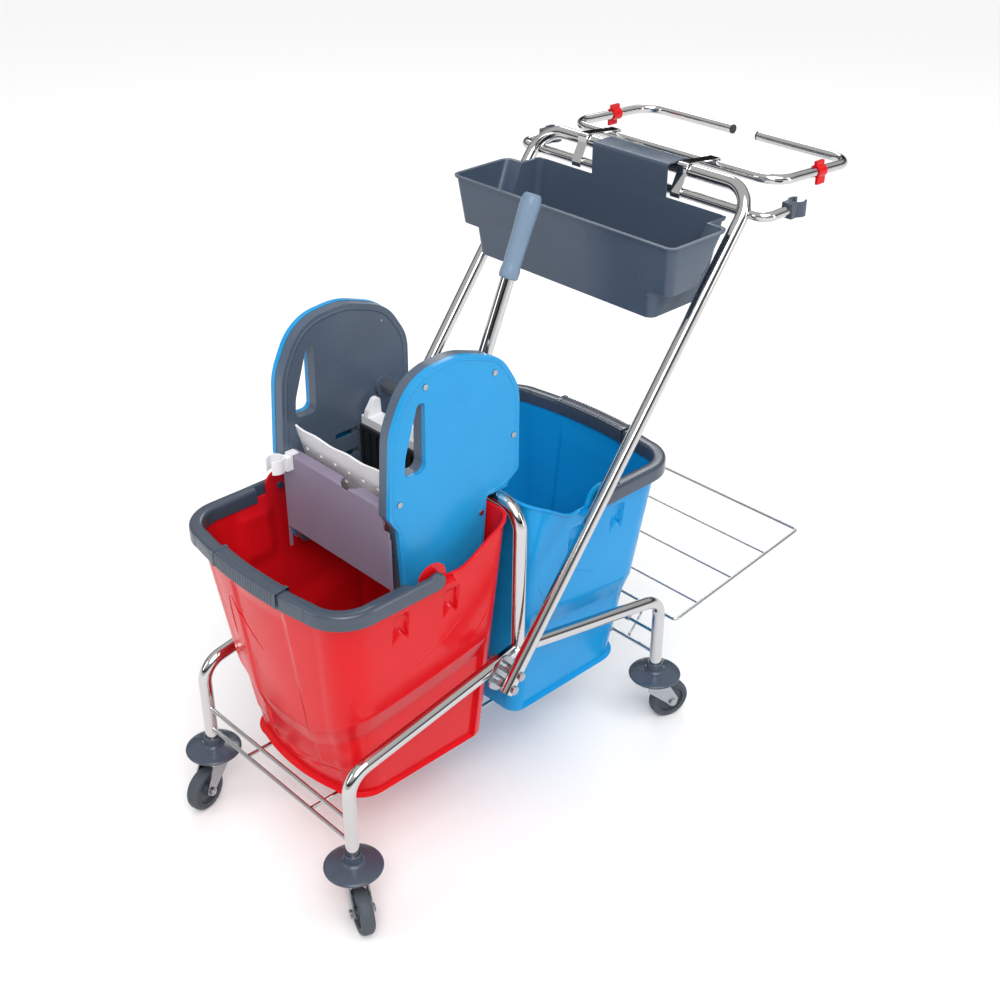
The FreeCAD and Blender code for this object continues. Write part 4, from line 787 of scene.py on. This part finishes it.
# ------------------------------------------------------------ floor, light and camera
# The trolley stands on a plain pale studio floor under four soft boxes and a broad overhead
# light. A dark band low in the surroundings gives the plating its dark reflections.
floor_data = bpy.data.meshes.new("studio_floor")
floor_data.from_pydata([(-30, -30, 0), (30, -30, 0), (30, 30, 0), (-30, 30, 0)], [], [(0, 1, 2, 3)])
floor = bpy.data.objects.new("studio_floor", floor_data)
bpy.context.scene.collection.objects.link(floor)
pale_floor = bpy.data.materials.new("pale studio floor")
pale_floor.use_nodes = True
floor_finish = pale_floor.node_tree.nodes["Principled BSDF"]
floor_finish.inputs["Base Color"].default_value = linear("#F2F2F2")
floor_finish.inputs["Roughness"].default_value = 0.8
floor_data.materials.append(pale_floor)

world = bpy.data.worlds.new("studio")
bpy.context.scene.world = world
world.use_nodes = True
sky = world.node_tree
sky.nodes.clear()
sky_place = add_node(sky, "ShaderNodeTexCoord")
sky_parts = add_node(sky, "ShaderNodeSeparateXYZ")
sky_ramp = add_node(sky, "ShaderNodeValToRGB")
sky_ramp.color_ramp.elements[0].position = 0.0
sky_ramp.color_ramp.elements[0].color = linear("#FFFFFF")
sky_ramp.color_ramp.elements[1].position = 0.62
sky_ramp.color_ramp.elements[1].color = linear("#FFFFFF")
for height, shade in ((0.10, "#FAFAFA"), (0.15, "#303034"), (0.22, "#1E1E22"),
                      (0.34, "#8E9094"), (0.45, "#E6E6E6")):
    stop = sky_ramp.color_ramp.elements.new(height)
    stop.color = linear(shade)
sky_light = add_node(sky, "ShaderNodeBackground", {"Strength": 0.68})
sky_out = add_node(sky, "ShaderNodeOutputWorld")
sky.links.new(sky_place.outputs["Generated"], sky_parts.inputs["Vector"])
sky.links.new(sky_parts.outputs["Z"], sky_ramp.inputs["Fac"])
sky.links.new(sky_ramp.outputs["Color"], sky_light.inputs["Color"])
sky.links.new(sky_light.outputs["Background"], sky_out.inputs["Surface"])

for name, place, aim, width, height, power in (
        ("key_softbox", (-2.2, -2.6, 3.2), (0, 0, 0.5), 1.6, 1.6, 48.0),
        ("fill_softbox", (-3.4, 1.4, 2.0), (0, 0, 0.6), 1.2, 2.0, 18.0),
        ("back_softbox", (2.6, 2.2, 3.0), (0.1, 0, 0.6), 1.6, 1.2, 26.0),
        ("side_strip", (1.6, -3.0, 1.6), (0.1, 0, 0.6), 0.5, 2.4, 16.0)):
    lamp = bpy.data.lights.new(name, "AREA")
    lamp.shape = "RECTANGLE"
    lamp.size = width
    lamp.size_y = height
    lamp.energy = power
    holder = bpy.data.objects.new(name, lamp)
    holder.location = place
    holder.rotation_mode = "QUATERNION"
    holder.rotation_quaternion = (Vector(place) - Vector(aim)).to_track_quat("Z", "Y")
    bpy.context.scene.collection.objects.link(holder)

sun = bpy.data.lights.new("overhead_light", "SUN")
sun.energy = 1.8
sun.angle = math.radians(50)
sun_holder = bpy.data.objects.new("overhead_light", sun)
sun_holder.rotation_euler = (math.radians(28), math.radians(-18), 0)
bpy.context.scene.collection.objects.link(sun_holder)

camera_data = bpy.data.cameras.new("camera")
camera_data.lens = 52.27
camera_data.sensor_width = 36.0
camera = bpy.data.objects.new("camera", camera_data)
eye = Vector((-1.3066, -1.5254, 1.7298))
target = Vector((0.03217, -0.11515, 0.56813))
camera.location = eye
camera.rotation_mode = "QUATERNION"
camera.rotation_quaternion = (eye - target).to_track_quat("Z", "Y")
camera_data.clip_start = 0.05
camera_data.clip_end = 80.0
bpy.context.scene.collection.objects.link(camera)
bpy.context.scene.camera = camera
bpy.context.scene.view_settings.view_transform = "Standard"
